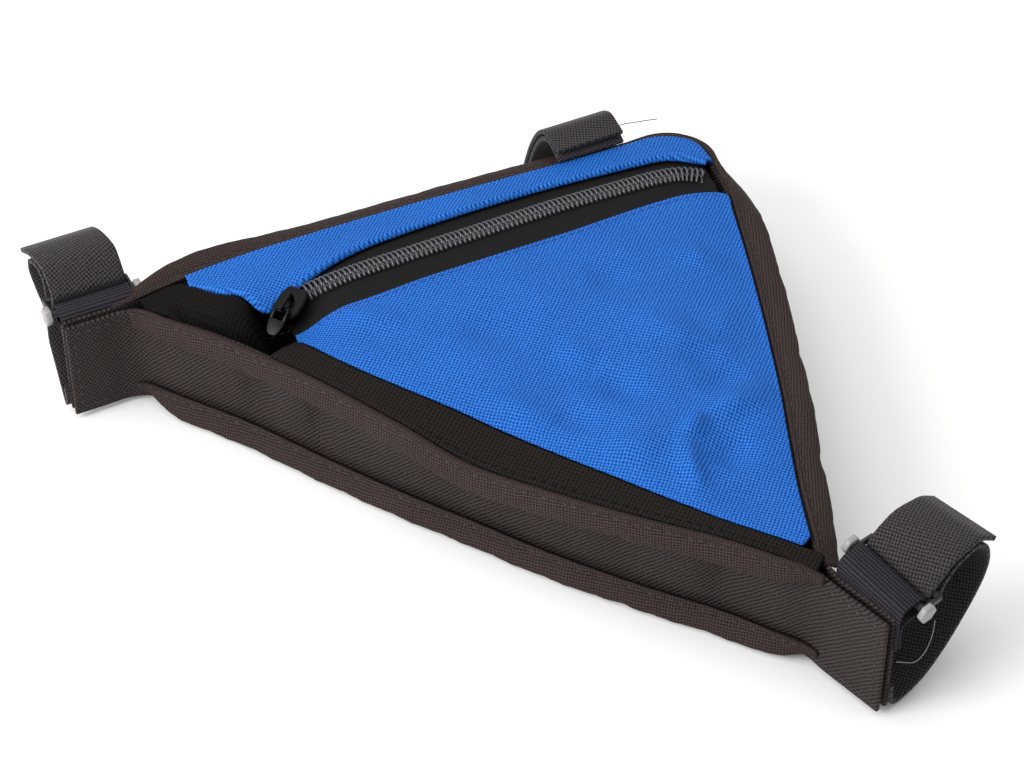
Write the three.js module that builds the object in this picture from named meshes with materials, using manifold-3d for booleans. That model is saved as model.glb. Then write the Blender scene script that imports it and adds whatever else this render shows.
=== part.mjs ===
// Triangular frame bag for a bicycle, lying on its back panel.
// Millimetres, +Z up: the back panel is on z = 0 and the front panel on top.
// The side that hangs from the top tube runs along X, and the middle of the
// three corners is the origin of the plan.
import * as THREE from 'three';
import { mergeVertices } from 'three/addons/utils/BufferGeometryUtils.js';
import Module from 'manifold-3d';

const wasm = await Module();
wasm.setup();
const V2 = THREE.Vector2;
const V3 = THREE.Vector3;
const { clamp, degToRad } = THREE.MathUtils;

// Bag
const topSide = 212;          // corner to corner along the top tube
const seatSide = 218.5;       // corner to corner along the seat tube
const topAngle = 70.2;        // degrees between those two sides
const depth = 40;             // between the outer faces of back and front panel
const topCornerRadius = 15;   // rounding of the corner below the saddle
const crown = 4.5;            // rise of the front panel's middle
const cloth = 1.5;            // padded cloth wall
const panelCloth = 1.2;       // cloth of the front's pieces
const clear = 0.3;            // gap between pieces that are sewn together
// Seams bound with folded tape
const bindingWide = 9;
const bindingThick = 2.4;
const backBindingWide = 8;
// Sewn tabs that carry the straps
const leftTab = 22;
const rightTab = 25.5;
const rightTabTurn = 34;      // degrees that the tab swings out of the seat side's line
const creaseRadius = 3;
// Zipper
const tapeThick = 0.9;
const tapeSunk = panelCloth + 3 * clear; // the tapes lie below the panels' folded edges
const tapeTuck = 3;           // how far they reach under them
const chainWide = 7.4;
const chainHigh = 2.2;
const sliderLong = 12.5;
const sliderWide = 9.6;
const sliderHigh = 4.4;
const sliderPitch = 16;       // degrees, nose down
const pullLong = 9.5;
const pullWide = 5.8;
const pullEye = 3.6;           // clear length of the eye in the pull
const pullThick = 1.2;
const pullDrop = 22;          // degrees below the slider's top at rest
const bridgeOpen = 3.0;       // clear height under the slider's bridge
const bridgeThick = 1.1;
const bridgeWide = 2.2;
// Hook-and-loop bands, their rings and the webbing that holds the rings
const bandWide = 25;
const bandThick = 1.8;
const keeperThick = 1.0;
const keeperWide = 25.4;
const keeperSewn = 13;        // how far its two ends reach along the wall
const barRadius = 1.6;
const knobAcross = 5.8;       // flats of the knob at each end of a ring
const knobLong = 2.2;
const ringArm = 1.4;          // link between the two bars at each end
const leftSlack = 1.7;        // slack of the webbing between wall and inner bar
const rightSlack = 4.2;
const leftRingHigh = 38;      // height of a ring's bars above the ground
const rightRingHigh = 41;
const topRingHigh = 11;
const leftRingShift = 2;      // the left ring sits off its band's middle line
const rightRingTilt = 8.5;    // degrees that the right ring leans, outer end down
const leftReach = 28;         // how far a band stands out from its tab
const rightReach = 40;
const topReach = 25;

// Seams of the long side: shares of its length, rise in shares of the depth.
const longSeam = [
  { at: 0.00, front: 0.000, rise: 0.000, back: 0.000 },
  { at: 0.08, front: -0.002, rise: 0.015, back: -0.007 },
  { at: 0.18, front: -0.001, rise: 0.045, back: -0.009 },
  { at: 0.30, front: 0.008, rise: 0.035, back: 0.000 },
  { at: 0.43, front: 0.022, rise: -0.005, back: 0.005 },
  { at: 0.53, front: 0.029, rise: -0.090, back: 0.004 },
  { at: 0.63, front: 0.028, rise: -0.065, back: 0.007 },
  { at: 0.76, front: 0.020, rise: -0.020, back: 0.002 },
  { at: 0.88, front: 0.007, rise: 0.015, back: -0.008 },
  { at: 1.00, front: 0.000, rise: 0.000, back: 0.000 },
];
// Bow of the two sides that lie on the frame, in shares of each side's length.
const topSeam = [
  { at: 0.00, bow: 0.000 }, { at: 0.16, bow: 0.022 }, { at: 0.45, bow: 0.021 },
  { at: 0.80, bow: 0.004 }, { at: 1.00, bow: 0.000 },
];
const seatSeam = [
  { at: 0.00, bow: 0.000 }, { at: 0.25, bow: 0.014 }, { at: 0.55, bow: 0.011 },
  { at: 0.90, bow: -0.008 }, { at: 1.00, bow: 0.000 },
];
// Zipper window below the top side, in shares of the top side: edge of the
// upper panel, middle of the chain and edge of the main panel.
const zipWindow = [
  { at: 0.190, upper: 0.106, chain: 0.140, lower: 0.166 },
  { at: 0.245, upper: 0.080, chain: 0.102, lower: 0.163 },
  { at: 0.280, upper: 0.072, chain: 0.101, lower: 0.166 },
  { at: 0.340, upper: 0.049, chain: 0.098, lower: 0.165 },
  { at: 0.420, upper: 0.038, chain: 0.097, lower: 0.161 },
  { at: 0.550, upper: 0.034, chain: 0.096, lower: 0.162 },
  { at: 0.680, upper: 0.037, chain: 0.094, lower: 0.162 },
  { at: 0.800, upper: 0.046, chain: 0.097, lower: 0.156 },
  { at: 0.880, upper: 0.054, chain: 0.101, lower: 0.155 },
  { at: 0.930, upper: 0.067, chain: 0.118, lower: 0.164 },
  { at: 0.965, upper: 0.102, chain: 0.158, lower: 0.192 },
];
// Seam between main panel and lower strip, inward from the long side.
const lowerEdge = [
  { at: 0.20, in: 0.064 }, { at: 0.28, in: 0.037 }, { at: 0.40, in: 0.030 }, { at: 0.50, in: 0.033 },
  { at: 0.65, in: 0.026 }, { at: 0.85, in: 0.020 }, { at: 1.00, in: 0.031 },
];
// Hollows (-) and puffs (+) of the front: shares of the long side along it and
// inward, reach across in the same shares, height in shares of the depth.
const frontDents = [
  { along: 0.205, in: 0.075, reach: 0.050, high: -0.16 },
  { along: 0.560, in: 0.200, reach: 0.070, high: -0.07 },
  { along: 0.720, in: 0.130, reach: 0.045, high: 0.06 },
  { along: 0.780, in: 0.240, reach: 0.060, high: 0.04 },
  { along: 0.860, in: 0.080, reach: 0.040, high: -0.04 },
];
// Fold of the corner piece between its left and right edge, shares of the depth.
const cornerFold = [
  { at: 0.00, up: 0.00 }, { at: 0.30, up: 0.03 }, { at: 0.60, up: 0.05 },
  { at: 0.78, up: 0.02 }, { at: 0.90, up: -0.08 }, { at: 1.00, up: -0.20 },
];
const cornerValley = { at: 0.27, wide: 0.17, deep: 0.13 }; // behind the long seam; deep is a share of the depth
// Roll of the front binding: 0 lies flat outward, 90 hangs down.
const frameRoll = [
  { at: 0.00, roll: 15 }, { at: 0.15, roll: 18 }, { at: 0.40, roll: 22 }, { at: 0.445, roll: 50 },
  { at: 0.47, roll: 80 }, { at: 0.505, roll: 80 }, { at: 0.54, roll: 58 }, { at: 0.575, roll: 30 },
  { at: 0.61, roll: 8 }, { at: 0.90, roll: 12 }, { at: 1.00, roll: 38 },
];
// Sections of the three bands, from the sewn foot to the ring: shares of the
// loop's reach outward and of the depth upward.
const leftLoop = [
  { out: 0.051, up: 0.26 }, { out: 0.051, up: 0.13 }, { out: 0.086, up: 0.080 },
  { out: 0.143, up: 0.145 }, { out: 0.307, up: 0.370 }, { out: 0.461, up: 0.558 },
  { out: 0.646, up: 0.765 }, { out: 0.818, up: 0.912 }, { out: 0.936, up: 1.058 },
  { out: 0.907, up: 1.162 }, { out: 0.768, up: 1.182 }, { out: 0.629, up: 1.125 },
];
const rightLoop = [
  { out: 0.036, up: 0.26 }, { out: 0.036, up: 0.12 }, { out: 0.090, up: 0.052 },
  { out: 0.345, up: 0.105 }, { out: 0.532, up: 0.243 }, { out: 0.720, up: 0.460 },
  { out: 0.928, up: 0.775 }, { out: 0.968, up: 0.952 }, { out: 0.925, up: 1.105 },
  { out: 0.825, up: 1.172 }, { out: 0.712, up: 1.170 }, { out: 0.600, up: 1.140 },
  { out: 0.515, up: 1.080 },
];
// Their upper layers, from the ring back to the free end, in the same shares.
const leftOver = [
  { out: 0.354, up: 1.005 }, { out: 0.336, up: 1.058 }, { out: 0.400, up: 1.115 },
  { out: 0.500, up: 1.185 }, { out: 0.614, up: 1.235 }, { out: 0.768, up: 1.250 },
  { out: 0.964, up: 1.230 }, { out: 1.143, up: 1.160 },
];
const rightOver = [
  { out: 0.410, up: 1.125 }, { out: 0.480, up: 1.172 }, { out: 0.565, up: 1.218 },
  { out: 0.650, up: 1.235 }, { out: 0.750, up: 1.238 }, { out: 0.850, up: 1.232 },
  { out: 1.020, up: 1.130 },
];
const topLoop = [
  { out: 0.000, up: 1.050 }, { out: 0.140, up: 1.090 }, { out: 0.320, up: 1.130 },
  { out: 0.510, up: 1.080 }, { out: 0.700, up: 0.920 }, { out: 0.860, up: 0.700 },
  { out: 0.970, up: 0.460 }, { out: 0.920, up: 0.340 }, { out: 0.760, up: 0.305 },
];

// Cubic through the rows of a table, read at one value of its first column.
function read(rows, column, at) {
  let k = 0;
  while (k < rows.length - 2 && at > rows[k + 1].at) k += 1;
  const [p, a, b, q] = [rows[Math.max(k - 1, 0)], rows[k], rows[k + 1],
    rows[Math.min(k + 2, rows.length - 1)]];
  const width = b.at - a.at;
  const x = clamp((at - a.at) / width, 0, 1);
  const leave = (b[column] - p[column]) / (b.at - p.at) * width;
  const arrive = (q[column] - a[column]) / (q.at - a.at) * width;
  const [x2, x3] = [x * x, x * x * x];
  return (2 * x3 - 3 * x2 + 1) * a[column] + (x3 - 2 * x2 + x) * leave
    + (3 * x2 - 2 * x3) * b[column] + (x3 - x2) * arrive;
}

// Plan of the bag: three corners about their middle.
const turn = degToRad(topAngle);
const raw = [new V2(0, 0), new V2(topSide, 0),
  new V2(topSide - seatSide * Math.cos(turn), -seatSide * Math.sin(turn))];
const middle = raw[0].clone().add(raw[1]).add(raw[2]).divideScalar(3);
const [cornerLeft, cornerTop, cornerLow] = raw.map((p) => p.clone().sub(middle));

function sideOf(from, to) {
  const along = to.clone().sub(from).normalize();
  const out = new V2(along.y, -along.x);
  if (out.dot(from) < 0) out.negate();
  const length = from.distanceTo(to);
  const at = (share, outward) => from.clone().addScaledVector(along, share * length)
    .addScaledVector(out, outward);
  const inward = (p) => -p.clone().sub(from).dot(out);
  const share = (p) => p.clone().sub(from).dot(along) / length;
  return { from, to, along, out, length, at, inward, share };
}
const top = sideOf(cornerLeft, cornerTop);
const seat = sideOf(cornerTop, cornerLow);
const long = sideOf(cornerLeft, cornerLow);
const rightTabAlong = seat.along.clone().rotateAround(new V2(), degToRad(rightTabTurn));
const rightTabOut = new V2(-rightTabAlong.y, rightTabAlong.x);

// Height of the front panel's outer face over the plan.
function frontHeight(p) {
  const s = long.share(p);
  const d = long.inward(p) + read(longSeam, 'front', clamp(s, 0, 1)) * long.length;
  let z = depth * (1 + read(longSeam, 'rise', clamp(s, 0, 1))
    * Math.exp(-((d / (0.12 * long.length)) ** 2)));
  const swell = (away) => 1 - Math.exp(-Math.max(away, 0) / (0.12 * topSide));
  z += crown * swell(top.inward(p)) * swell(seat.inward(p)) * swell(d);
  for (const dent of frontDents) {
    const across = Math.hypot(s - dent.along, d / long.length - dent.in) / dent.reach;
    z += dent.high * depth * Math.exp(-across * across);
  }
  return z;
}

// Outer line of the gussets. The two layers of a tab lie on both sides of its
// middle line, the long gusset in front and the frame gusset behind.
const half = cloth + clear / 2;
const tabEnd = {
  left: cornerLeft.clone().addScaledVector(top.along, -leftTab),
  right: cornerLow.clone().addScaledVector(rightTabAlong, rightTab),
};
const layered = (p, away, side) => p.clone().addScaledVector(away, side * half);
function spaced(points) {
  const curve = new THREE.CatmullRomCurve3(points, false, 'centripetal');
  curve.arcLengthDivisions = 1200;
  return { curve, at: (u) => curve.getPointAt(clamp(u, 0, 1)), length: curve.getLength() };
}
function lift(plan, z) { return new V3(plan.x, plan.y, z); }

function longLine(level) {
  const points = [];
  const add = (p, z) => points.push(lift(p, z));
  const zAt = (s) => (level === 'front' ? depth * (1 + read(longSeam, 'rise', s)) : 0);
  add(layered(tabEnd.left, top.out, -1), zAt(0));
  add(layered(cornerLeft, top.out, -1).addScaledVector(top.along, -leftTab / 2), zAt(0));
  add(layered(cornerLeft, top.out, -1).addScaledVector(top.along, -creaseRadius), zAt(0));
  const steps = 22;
  for (let k = 0; k <= steps; k += 1) {
    const s = 0.02 + 0.96 * k / steps;
    add(long.at(s, read(longSeam, level, s) * long.length), zAt(s));
  }
  add(layered(cornerLow, rightTabOut, -1).addScaledVector(rightTabAlong, creaseRadius), zAt(1));
  add(layered(cornerLow, rightTabOut, -1).addScaledVector(rightTabAlong, rightTab / 2), zAt(1));
  add(layered(tabEnd.right, rightTabOut, -1), zAt(1));
  return spaced(points);
}
const roundStart = topCornerRadius / Math.tan(turn / 2);
const roundCentre = cornerTop.clone().addScaledVector(top.along, -roundStart)
  .addScaledVector(top.out, -topCornerRadius);
function frameLine(z) {
  const points = [];
  const add = (p) => points.push(lift(p, z));
  add(layered(tabEnd.left, top.out, 1));
  add(layered(cornerLeft, top.out, 1).addScaledVector(top.along, -leftTab / 2));
  add(layered(cornerLeft, top.out, 1));
  const topEnd = 1 - roundStart / topSide;
  for (const k of [1, 2, 3, 4, 5, 6, 7, 8, 9]) {
    const s = 0.02 + (topEnd - 0.06) * k / 9;
    add(top.at(s, read(topSeam, 'bow', s) * topSide));
  }
  const from = Math.atan2(top.out.y, top.out.x);
  const to = Math.atan2(seat.out.y, seat.out.x);
  for (const k of [0, 1, 2, 3, 4, 5]) {
    const a = from + (to - from) * k / 5;
    add(roundCentre.clone().add(new V2(Math.cos(a), Math.sin(a)).multiplyScalar(topCornerRadius)));
  }
  const seatStart = roundStart / seatSide;
  for (const k of [1, 2, 3, 4, 5, 6, 7, 8, 9]) {
    const s = seatStart + 0.04 + (0.96 - seatStart - 0.04) * (k - 1) / 8;
    add(seat.at(s, read(seatSeam, 'bow', s) * seatSide));
  }
  add(layered(cornerLow, rightTabOut, 1).addScaledVector(rightTabAlong, creaseRadius));
  add(layered(cornerLow, rightTabOut, 1).addScaledVector(rightTabAlong, rightTab / 2));
  add(layered(tabEnd.right, rightTabOut, 1));
  return spaced(points);
}
const lines = {
  long: { front: longLine('front'), back: longLine('back'), side: -1 },
  frame: { front: frameLine(depth), back: frameLine(0), side: 1 },
};
// Outward direction in plan of a line at u: left of travel is side +1.
function outward(line, u, side) {
  const t = line.curve.getTangentAt(clamp(u, 0, 1));
  return new V2(-t.y, t.x).normalize().multiplyScalar(side);
}

// A sheet or bar bent from a box: place(u, v, w) gives each point.
function formed(nu, nv, place, nw = 1) {
  let g = new THREE.BoxGeometry(1, 1, 1, nu, nv, nw);
  g.deleteAttribute('normal');
  g.deleteAttribute('uv');
  g = mergeVertices(g, 1e-4);
  const p = g.attributes.position;
  for (let i = 0; i < p.count; i += 1) {
    const q = place(p.getX(i) + 0.5, p.getY(i) + 0.5, p.getZ(i) + 0.5);
    p.setXYZ(i, q.x, q.y, q.z);
  }
  return facingOut(g);
}
function facingOut(g) {
  const [p, index] = [g.attributes.position, g.index];
  const corner = (i) => new V3().fromBufferAttribute(p, index.getX(i));
  let volume = 0;
  for (let i = 0; i < index.count; i += 3) {
    volume += corner(i).dot(corner(i + 1).cross(corner(i + 2)));
  }
  if (volume < 0) {
    for (let i = 0; i < index.count; i += 3) {
      const keep = index.getX(i);
      index.setX(i, index.getX(i + 1));
      index.setX(i + 1, keep);
    }
  }
  g.computeVertexNormals();
  return g;
}
function toSolid(geometry) {
  const g = geometry.clone();
  g.deleteAttribute('normal');
  g.deleteAttribute('uv');
  const merged = mergeVertices(g, 1e-4);
  return new wasm.Manifold(new wasm.Mesh({
    numProp: 3,
    vertProperties: new Float32Array(merged.attributes.position.array),
    triVerts: new Uint32Array(merged.index.array),
  }));
}
function toGeometry(solid) {
  const m = solid.getMesh();
  const g = new THREE.BufferGeometry();
  g.setAttribute('position', new THREE.BufferAttribute(m.vertProperties, 3));
  g.setIndex(new THREE.BufferAttribute(m.triVerts, 1));
  g.computeVertexNormals();
  return g;
}

const group = new THREE.Group();
const looks = {
  blue: { color: 0x1c4fc4, roughness: 0.75, metalness: 0 },
  black: { color: 0x1d1a19, roughness: 0.85, metalness: 0 },
  gusset: { color: 0x2b2524, roughness: 0.8, metalness: 0 },
  tape: { color: 0x1a191b, roughness: 0.8, metalness: 0 },
  coil: { color: 0x242427, roughness: 0.4, metalness: 0 },
  metal: { color: 0x17171a, roughness: 0.35, metalness: 0.8 },
  band: { color: 0x222023, roughness: 0.95, metalness: 0 },
  plastic: { color: 0x9d9a9b, roughness: 0.45, metalness: 0 },
};
function addPiece(name, geometry, look, parent = group) {
  const mesh = new THREE.Mesh(geometry, new THREE.MeshStandardMaterial(looks[look]));
  mesh.name = name;
  parent.add(mesh);
  return mesh;
}

// Share of a line's length where its left tab ends and its right tab starts.
const spans = {};
for (const [name, set] of Object.entries(lines)) {
  spans[name] = { from: leftTab / set.front.length, to: 1 - rightTab / set.front.length };
}
// Stations along a line that walls and bindings share: tab, sides, corner, tab.
const evenly = (from, to, n) => Array.from({ length: n + 1 }, (_, k) => from + (to - from) * k / n);
const arcShare = topCornerRadius * (Math.PI - turn) / lines.frame.front.length;
const arcMiddle = (leftTab + topSide - roundStart + topCornerRadius * (Math.PI - turn) / 2)
  / lines.frame.front.length;
const arcFrom = arcMiddle - 0.6 * arcShare;
const arcTo = arcMiddle + 0.6 * arcShare;
const chain = (...runs) => runs.flatMap((run, k) => (k ? run.slice(1) : run));
const stations = {
  long: chain(evenly(0, spans.long.from, 3), evenly(spans.long.from, spans.long.to, 32),
    evenly(spans.long.to, 1, 3)),
  frame: chain(evenly(0, spans.frame.from, 2), evenly(spans.frame.from, arcFrom, 15),
    evenly(arcFrom, arcTo, 8), evenly(arcTo, spans.frame.to, 14), evenly(spans.frame.to, 1, 3)),
};

// Walls. A wall stands between the panels and ends below the front panel.
const wallFoot = cloth + clear;
const wallSink = 0.03;        // hollow of a wall between its seams, share of the depth
function wallFace(set, u, z) {
  const back = set.back.at(u);
  const front = set.front.at(u);
  return new V2(back.x, back.y).lerp(new V2(front.x, front.y), z / front.z);
}
const rimHeight = (set, u) => { const q = set.front.at(u); return frontHeight(new V2(q.x, q.y)); };
function wall(name, nv) {
  const set = lines[name];
  const { from, to } = spans[name];
  const at = stations[name];
  return formed(at.length - 1, nv, (share, v, w) => {
    const u = at[Math.round(share * (at.length - 1))];
    const top = rimHeight(set, u) - panelCloth - clear;
    const z = wallFoot + v * (top - wallFoot);
    const along = clamp((u - from - 0.02) / (to - from - 0.04), 0, 1);
    const sink = wallSink * depth * Math.sin(Math.PI * v) * Math.sin(Math.PI * along);
    const p = wallFace(set, u, z).addScaledVector(outward(set.front, u, set.side), -sink - w * cloth);
    return lift(p, z);
  });
}
addPiece('gusset_long_side', wall('long', 4), 'gusset');
addPiece('gusset_frame_sides', wall('frame', 3), 'gusset');

// Bound seams. Roll 0 lies flat outward from the seam, 90 hangs down.
function binding(name, skip, wide, roll, rootHeight, level, tips) {
  const set = lines[name];
  const { from, to } = spans[name];
  const at = stations[name].filter((u) => u > from + skip.start && u < to - skip.end);
  const nearEnd = (share) => Math.exp(-((28 * share) ** 2));
  return formed(at.length - 1, 2, (share, v, w) => {
    const u = at[Math.round(share * (at.length - 1))];
    const a = degToRad(roll((u - from) / (to - from)));
    const out = outward(set.front, u, set.side);
    const full = 1 - (1 - tips.start) * nearEnd(share) - (1 - tips.end) * nearEnd(1 - share);
    const reach = v * wide * full;
    const through = bindingThick * (0.5 + (w - 0.5) * (v === 1 ? 0.7 : 1));
    const root = rootHeight(rimHeight(set, u), a);
    const seam = wallFace(set, u, level === 'back' ? root : set.front.at(u).z);
    const p = seam.addScaledVector(out, clear + reach * Math.cos(a) + through * Math.sin(a));
    return lift(p, root - reach * Math.sin(a) + through * Math.cos(a));
  });
}
const frontRoot = (z, a) => z - bindingThick * Math.cos(a) + 0.4;
const longRoll = 80;
const backRoll = 50;
const backRoot = (z, a) => clear + backBindingWide * Math.sin(a);
const longTips = { start: 0.85, end: 0.85 };
const longSkip = { start: 0.012, end: 0.012 };
addPiece('binding_front_long', binding('long', longSkip, bindingWide, () => longRoll, frontRoot, 'front',
  longTips), 'gusset');
addPiece('binding_front_frame', binding('frame', { start: 0.018, end: 0.008 }, bindingWide,
  (u) => read(frameRoll, 'roll', u), frontRoot, 'front', { start: 0.5, end: 0.6 }), 'gusset');
addPiece('binding_back_long', binding('long', longSkip, backBindingWide, () => backRoll, backRoot, 'back',
  longTips), 'gusset');
addPiece('binding_back_frame', binding('frame', { start: 0.004, end: 0.006 }, backBindingWide, () => backRoll,
  backRoot, 'back', { start: 0.6, end: 0.5 }), 'gusset');

// Back panel, flat on the ground between the gussets' outer lines.
{
  const shape = new THREE.Shape();
  const rim = [];
  for (const name of ['frame', 'long']) {
    const { from, to } = spans[name];
    const used = stations[name].filter((u) => u > from + 0.004 && u < to - 0.004);
    if (name === 'long') used.reverse();
    rim.push(...used.map((u) => wallFace(lines[name], u, 0)));
  }
  shape.setFromPoints(rim);
  const g = new THREE.ExtrudeGeometry(shape, { depth: cloth, bevelEnabled: false });
  addPiece('back_panel', toGeometry(toSolid(g)), 'black');
}

// Front panels: a sheet between two edges drawn in plan.
function edge(points) {
  const curve = new THREE.CatmullRomCurve3(points.map((p) => lift(p, 0)), false, 'centripetal');
  curve.arcLengthDivisions = 600;
  return (u) => { const q = curve.getPointAt(clamp(u, 0, 1)); return new V2(q.x, q.y); };
}
function sheet(nu, nv, first, second, thick, drop, extra = () => 0) {
  return formed(nu, nv, (u, v, w) => {
    const across = nv > 4 ? (1 - Math.cos(Math.PI * v)) / 2 : v;
    const p = first(u).lerp(second(u), across);
    const z = frontHeight(p) - drop - w * thick + extra(u, v);
    return lift(p, z);
  });
}
const inZip = (share, column, shift = 0) => top.at(share, -read(zipWindow, column, share) * topSide + shift);
const onSeam = (set, u, inset = clear) => {
  const q = set.front.at(u);
  return new V2(q.x, q.y).addScaledVector(outward(set.front, u, set.side), -inset);
};
const frameU = (share) => spans.frame.from + (spans.frame.to - spans.frame.from) * share;
const longU = (share) => spans.long.from + (spans.long.to - spans.long.from) * share;

// Share along the top side where a line of the zipper window comes this near
// to the seam at the rounded corner, and the seam's own share there.
const seamRuler = evenly(0.4, 0.7, 240).map((share) => ({ share, p: onSeam(lines.frame, frameU(share), 0) }));
const nearestSeam = (p) => seamRuler.reduce((best, r) => {
  const d = r.p.distanceTo(p);
  return d < best.d ? { d, share: r.share } : best;
}, { d: Infinity, share: 0 });
function zipEnd(column, shift, inset) {
  let s = 0.85;
  while (s < 1 && nearestSeam(inZip(s, column, shift)).d > inset) s += 0.001;
  return { at: s, seam: nearestSeam(inZip(s, column, shift)).share };
}
const bluntTip = 0.008;       // the narrow end of a panel is cut short, share of the top side
const tuckInset = cloth + panelCloth + clear;  // inside the wall, below the panels
// Upper strip: from the tip at the corner piece to the rounded corner.
{
  const end = zipEnd('upper', 0, clear);
  const upper = edge(evenly(0.052, end.seam - bluntTip / 2, 16).map((s) => onSeam(lines.frame, frameU(s))));
  const lower = edge([top.at(0.097, -0.010 * topSide), top.at(0.131, -0.041 * topSide),
    top.at(0.162, -0.064 * topSide), top.at(0.182, -0.106 * topSide),
    ...evenly(0.215, end.at - bluntTip, 14).map((s) => inZip(s, 'upper'))]);
  addPiece('strip_upper_blue', sheet(30, 2, upper, lower, panelCloth, 0), 'blue');
}
// Main panel: lower edge along the black strip, then zipper edge and seat side.
{
  const low = edge(evenly(0.226, 0.955, 14).map((s) => long.at(s, -read(lowerEdge, 'in', s) * long.length)));
  const end = zipEnd('lower', 0, 2 * clear);
  const high = edge([...evenly(0.205, end.at, 14).map((s) => inZip(s, 'lower')),
    ...evenly(end.seam + 0.02, 0.965, 13).map((s) => onSeam(lines.frame, frameU(s)))]);
  addPiece('panel_main_blue', sheet(22, 9, low, high, panelCloth, 0), 'blue');
}
// Lower strip between the main panel and the long seam.
{
  const outer = edge(evenly(0.215, 0.990, 18).map((s) => onSeam(lines.long, longU(s))));
  const inner = edge(evenly(0.228, 0.985, 18)
    .map((s) => long.at(s, -read(lowerEdge, 'in', s) * long.length + 2 * clear)));
  addPiece('strip_lower_black', sheet(26, 2, outer, inner, panelCloth, 0), 'black');
}
// Folded corner piece by the left tab, its right end tucked below the zipper.
{
  const sunkInset = 2 * cloth;  // where the fold dips, its edge stays inside the wall
  const lower = edge(evenly(0.02, 0.20, 8).map((s) => onSeam(lines.long, longU(s),
    clear + sunkInset * THREE.MathUtils.smoothstep(s, 0.09, 0.14))));
  const upper = edge([top.at(0.02, 0.003 * topSide), top.at(0.088, 0.004 * topSide),
    top.at(0.124, -0.047 * topSide), top.at(0.157, -0.071 * topSide), top.at(0.176, -0.112 * topSide),
    top.at(0.190, -0.135 * topSide)]);
  const valley = (v) => Math.exp(-(((v - cornerValley.at) / cornerValley.wide) ** 2));
  const wideEnough = (u) => THREE.MathUtils.smoothstep(u, 0.15, 0.5);
  const shape = (u, v) => read(cornerFold, 'up', u)
    - cornerValley.deep * valley((1 - Math.cos(Math.PI * v)) / 2) * wideEnough(u);
  addPiece('corner_piece_black', sheet(12, 7, lower, upper, panelCloth, 0, (u, v) => depth * shape(u, v)), 'black');
}
// Zipper: two tapes, the closed chain, slider and pull.
const chainStart = 0.245;
{
  const line = (from, to, column, shift) => edge(evenly(from, to, 16).map((s) => inZip(s, column, shift)));
  const tape = (name, side, column) => {
    const edgeEnd = zipEnd(column, side * tapeTuck, tuckInset).at;
    const chainStop = zipEnd('chain', side * clear, tuckInset).at;
    addPiece(name, sheet(28, 1, line(0.205, edgeEnd, column, side * tapeTuck),
      line(0.205, chainStop, 'chain', side * clear), tapeThick, tapeSunk), 'tape');
  };
  tape('zipper_tape_upper', 1, 'upper');
  tape('zipper_tape_lower', -1, 'lower');
  const chainEnd = zipEnd('chain', 0, tuckInset + chainWide / 4).at;
  const chainLine = edge(evenly(chainStart, chainEnd, 18).map((s) => inZip(s, 'chain')));
  addPiece('zipper_coil', formed(44, 3, (u, v, w) => {
    const p = chainLine(u);
    const ahead = chainLine(Math.min(u + 0.01, 1)).sub(chainLine(Math.max(u - 0.01, 0))).normalize();
    const across = (v - 0.5) * chainWide;
    const q = p.clone().addScaledVector(new V2(-ahead.y, ahead.x), across);
    const arch = chainHigh * (v === 0 || v === 1 ? 0.35 : 1);
    return lift(q, frontHeight(q) - tapeSunk + 2.5 * clear + w * arch);
  }), 'coil');
}
const chainFoot = inZip(chainStart, 'chain');
const noseWay = inZip(0.19, 'chain').sub(chainFoot).normalize();
const slider = new THREE.Group();
slider.position.set(chainFoot.x, chainFoot.y, 0).addScaledVector(lift(noseWay, 0), 3 * clear + sliderLong / 2);
slider.position.z = frontHeight(new V2(slider.position.x, slider.position.y)) + sliderHigh / 2 + 1.0;
slider.rotation.set(0, degToRad(sliderPitch), Math.atan2(noseWay.y, noseWay.x), 'ZYX');
group.add(slider);
const [hl, hw] = [sliderLong / 2, sliderWide / 2];
const bridgeLong = sliderLong * 0.62;
const bridgeFront = hl - 0.2;
{
  // Body: wide shoulders at the rear mouth, narrower nose; X points to the nose.
  const plan = new THREE.Shape([new V2(-hl, -hw * 0.72), new V2(-hl * 0.1, -hw), new V2(hl * 0.55, -hw),
    new V2(hl, -hw * 0.55), new V2(hl, hw * 0.55), new V2(hl * 0.55, hw), new V2(-hl * 0.1, hw),
    new V2(-hl, hw * 0.72)]);
  const bevel = sliderHigh * 0.2;
  const body = new THREE.ExtrudeGeometry(plan, { depth: sliderHigh - 2 * bevel, bevelEnabled: true,
    bevelThickness: bevel, bevelSize: bevel, bevelOffset: -bevel, bevelSegments: 1 });
  body.translate(0, 0, -sliderHigh / 2 + bevel);
  const arch = new THREE.Shape();
  const [back, front] = [bridgeFront - bridgeLong, bridgeFront];
  const [inside, outside] = [bridgeOpen, bridgeOpen + bridgeThick];
  arch.setFromPoints([new V2(back, -0.4), new V2(back, inside * 0.7), new V2(back + 1.2, outside),
    new V2(front - 1.2, outside), new V2(front, inside * 0.8), new V2(front, -0.4),
    new V2(front - bridgeThick, -0.4), new V2(front - bridgeThick, inside * 0.75),
    new V2(front - bridgeThick - 0.6, inside), new V2(back + bridgeThick + 0.6, inside),
    new V2(back + bridgeThick, inside * 0.7), new V2(back + bridgeThick, -0.4)]);
  const bridge = new THREE.ExtrudeGeometry(arch, { depth: bridgeWide, bevelEnabled: false });
  bridge.rotateX(Math.PI / 2);
  bridge.translate(0, bridgeWide / 2, sliderHigh / 2);
  addPiece('slider_body', toGeometry(toSolid(body).add(toSolid(bridge))), 'metal', slider);
}
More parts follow.
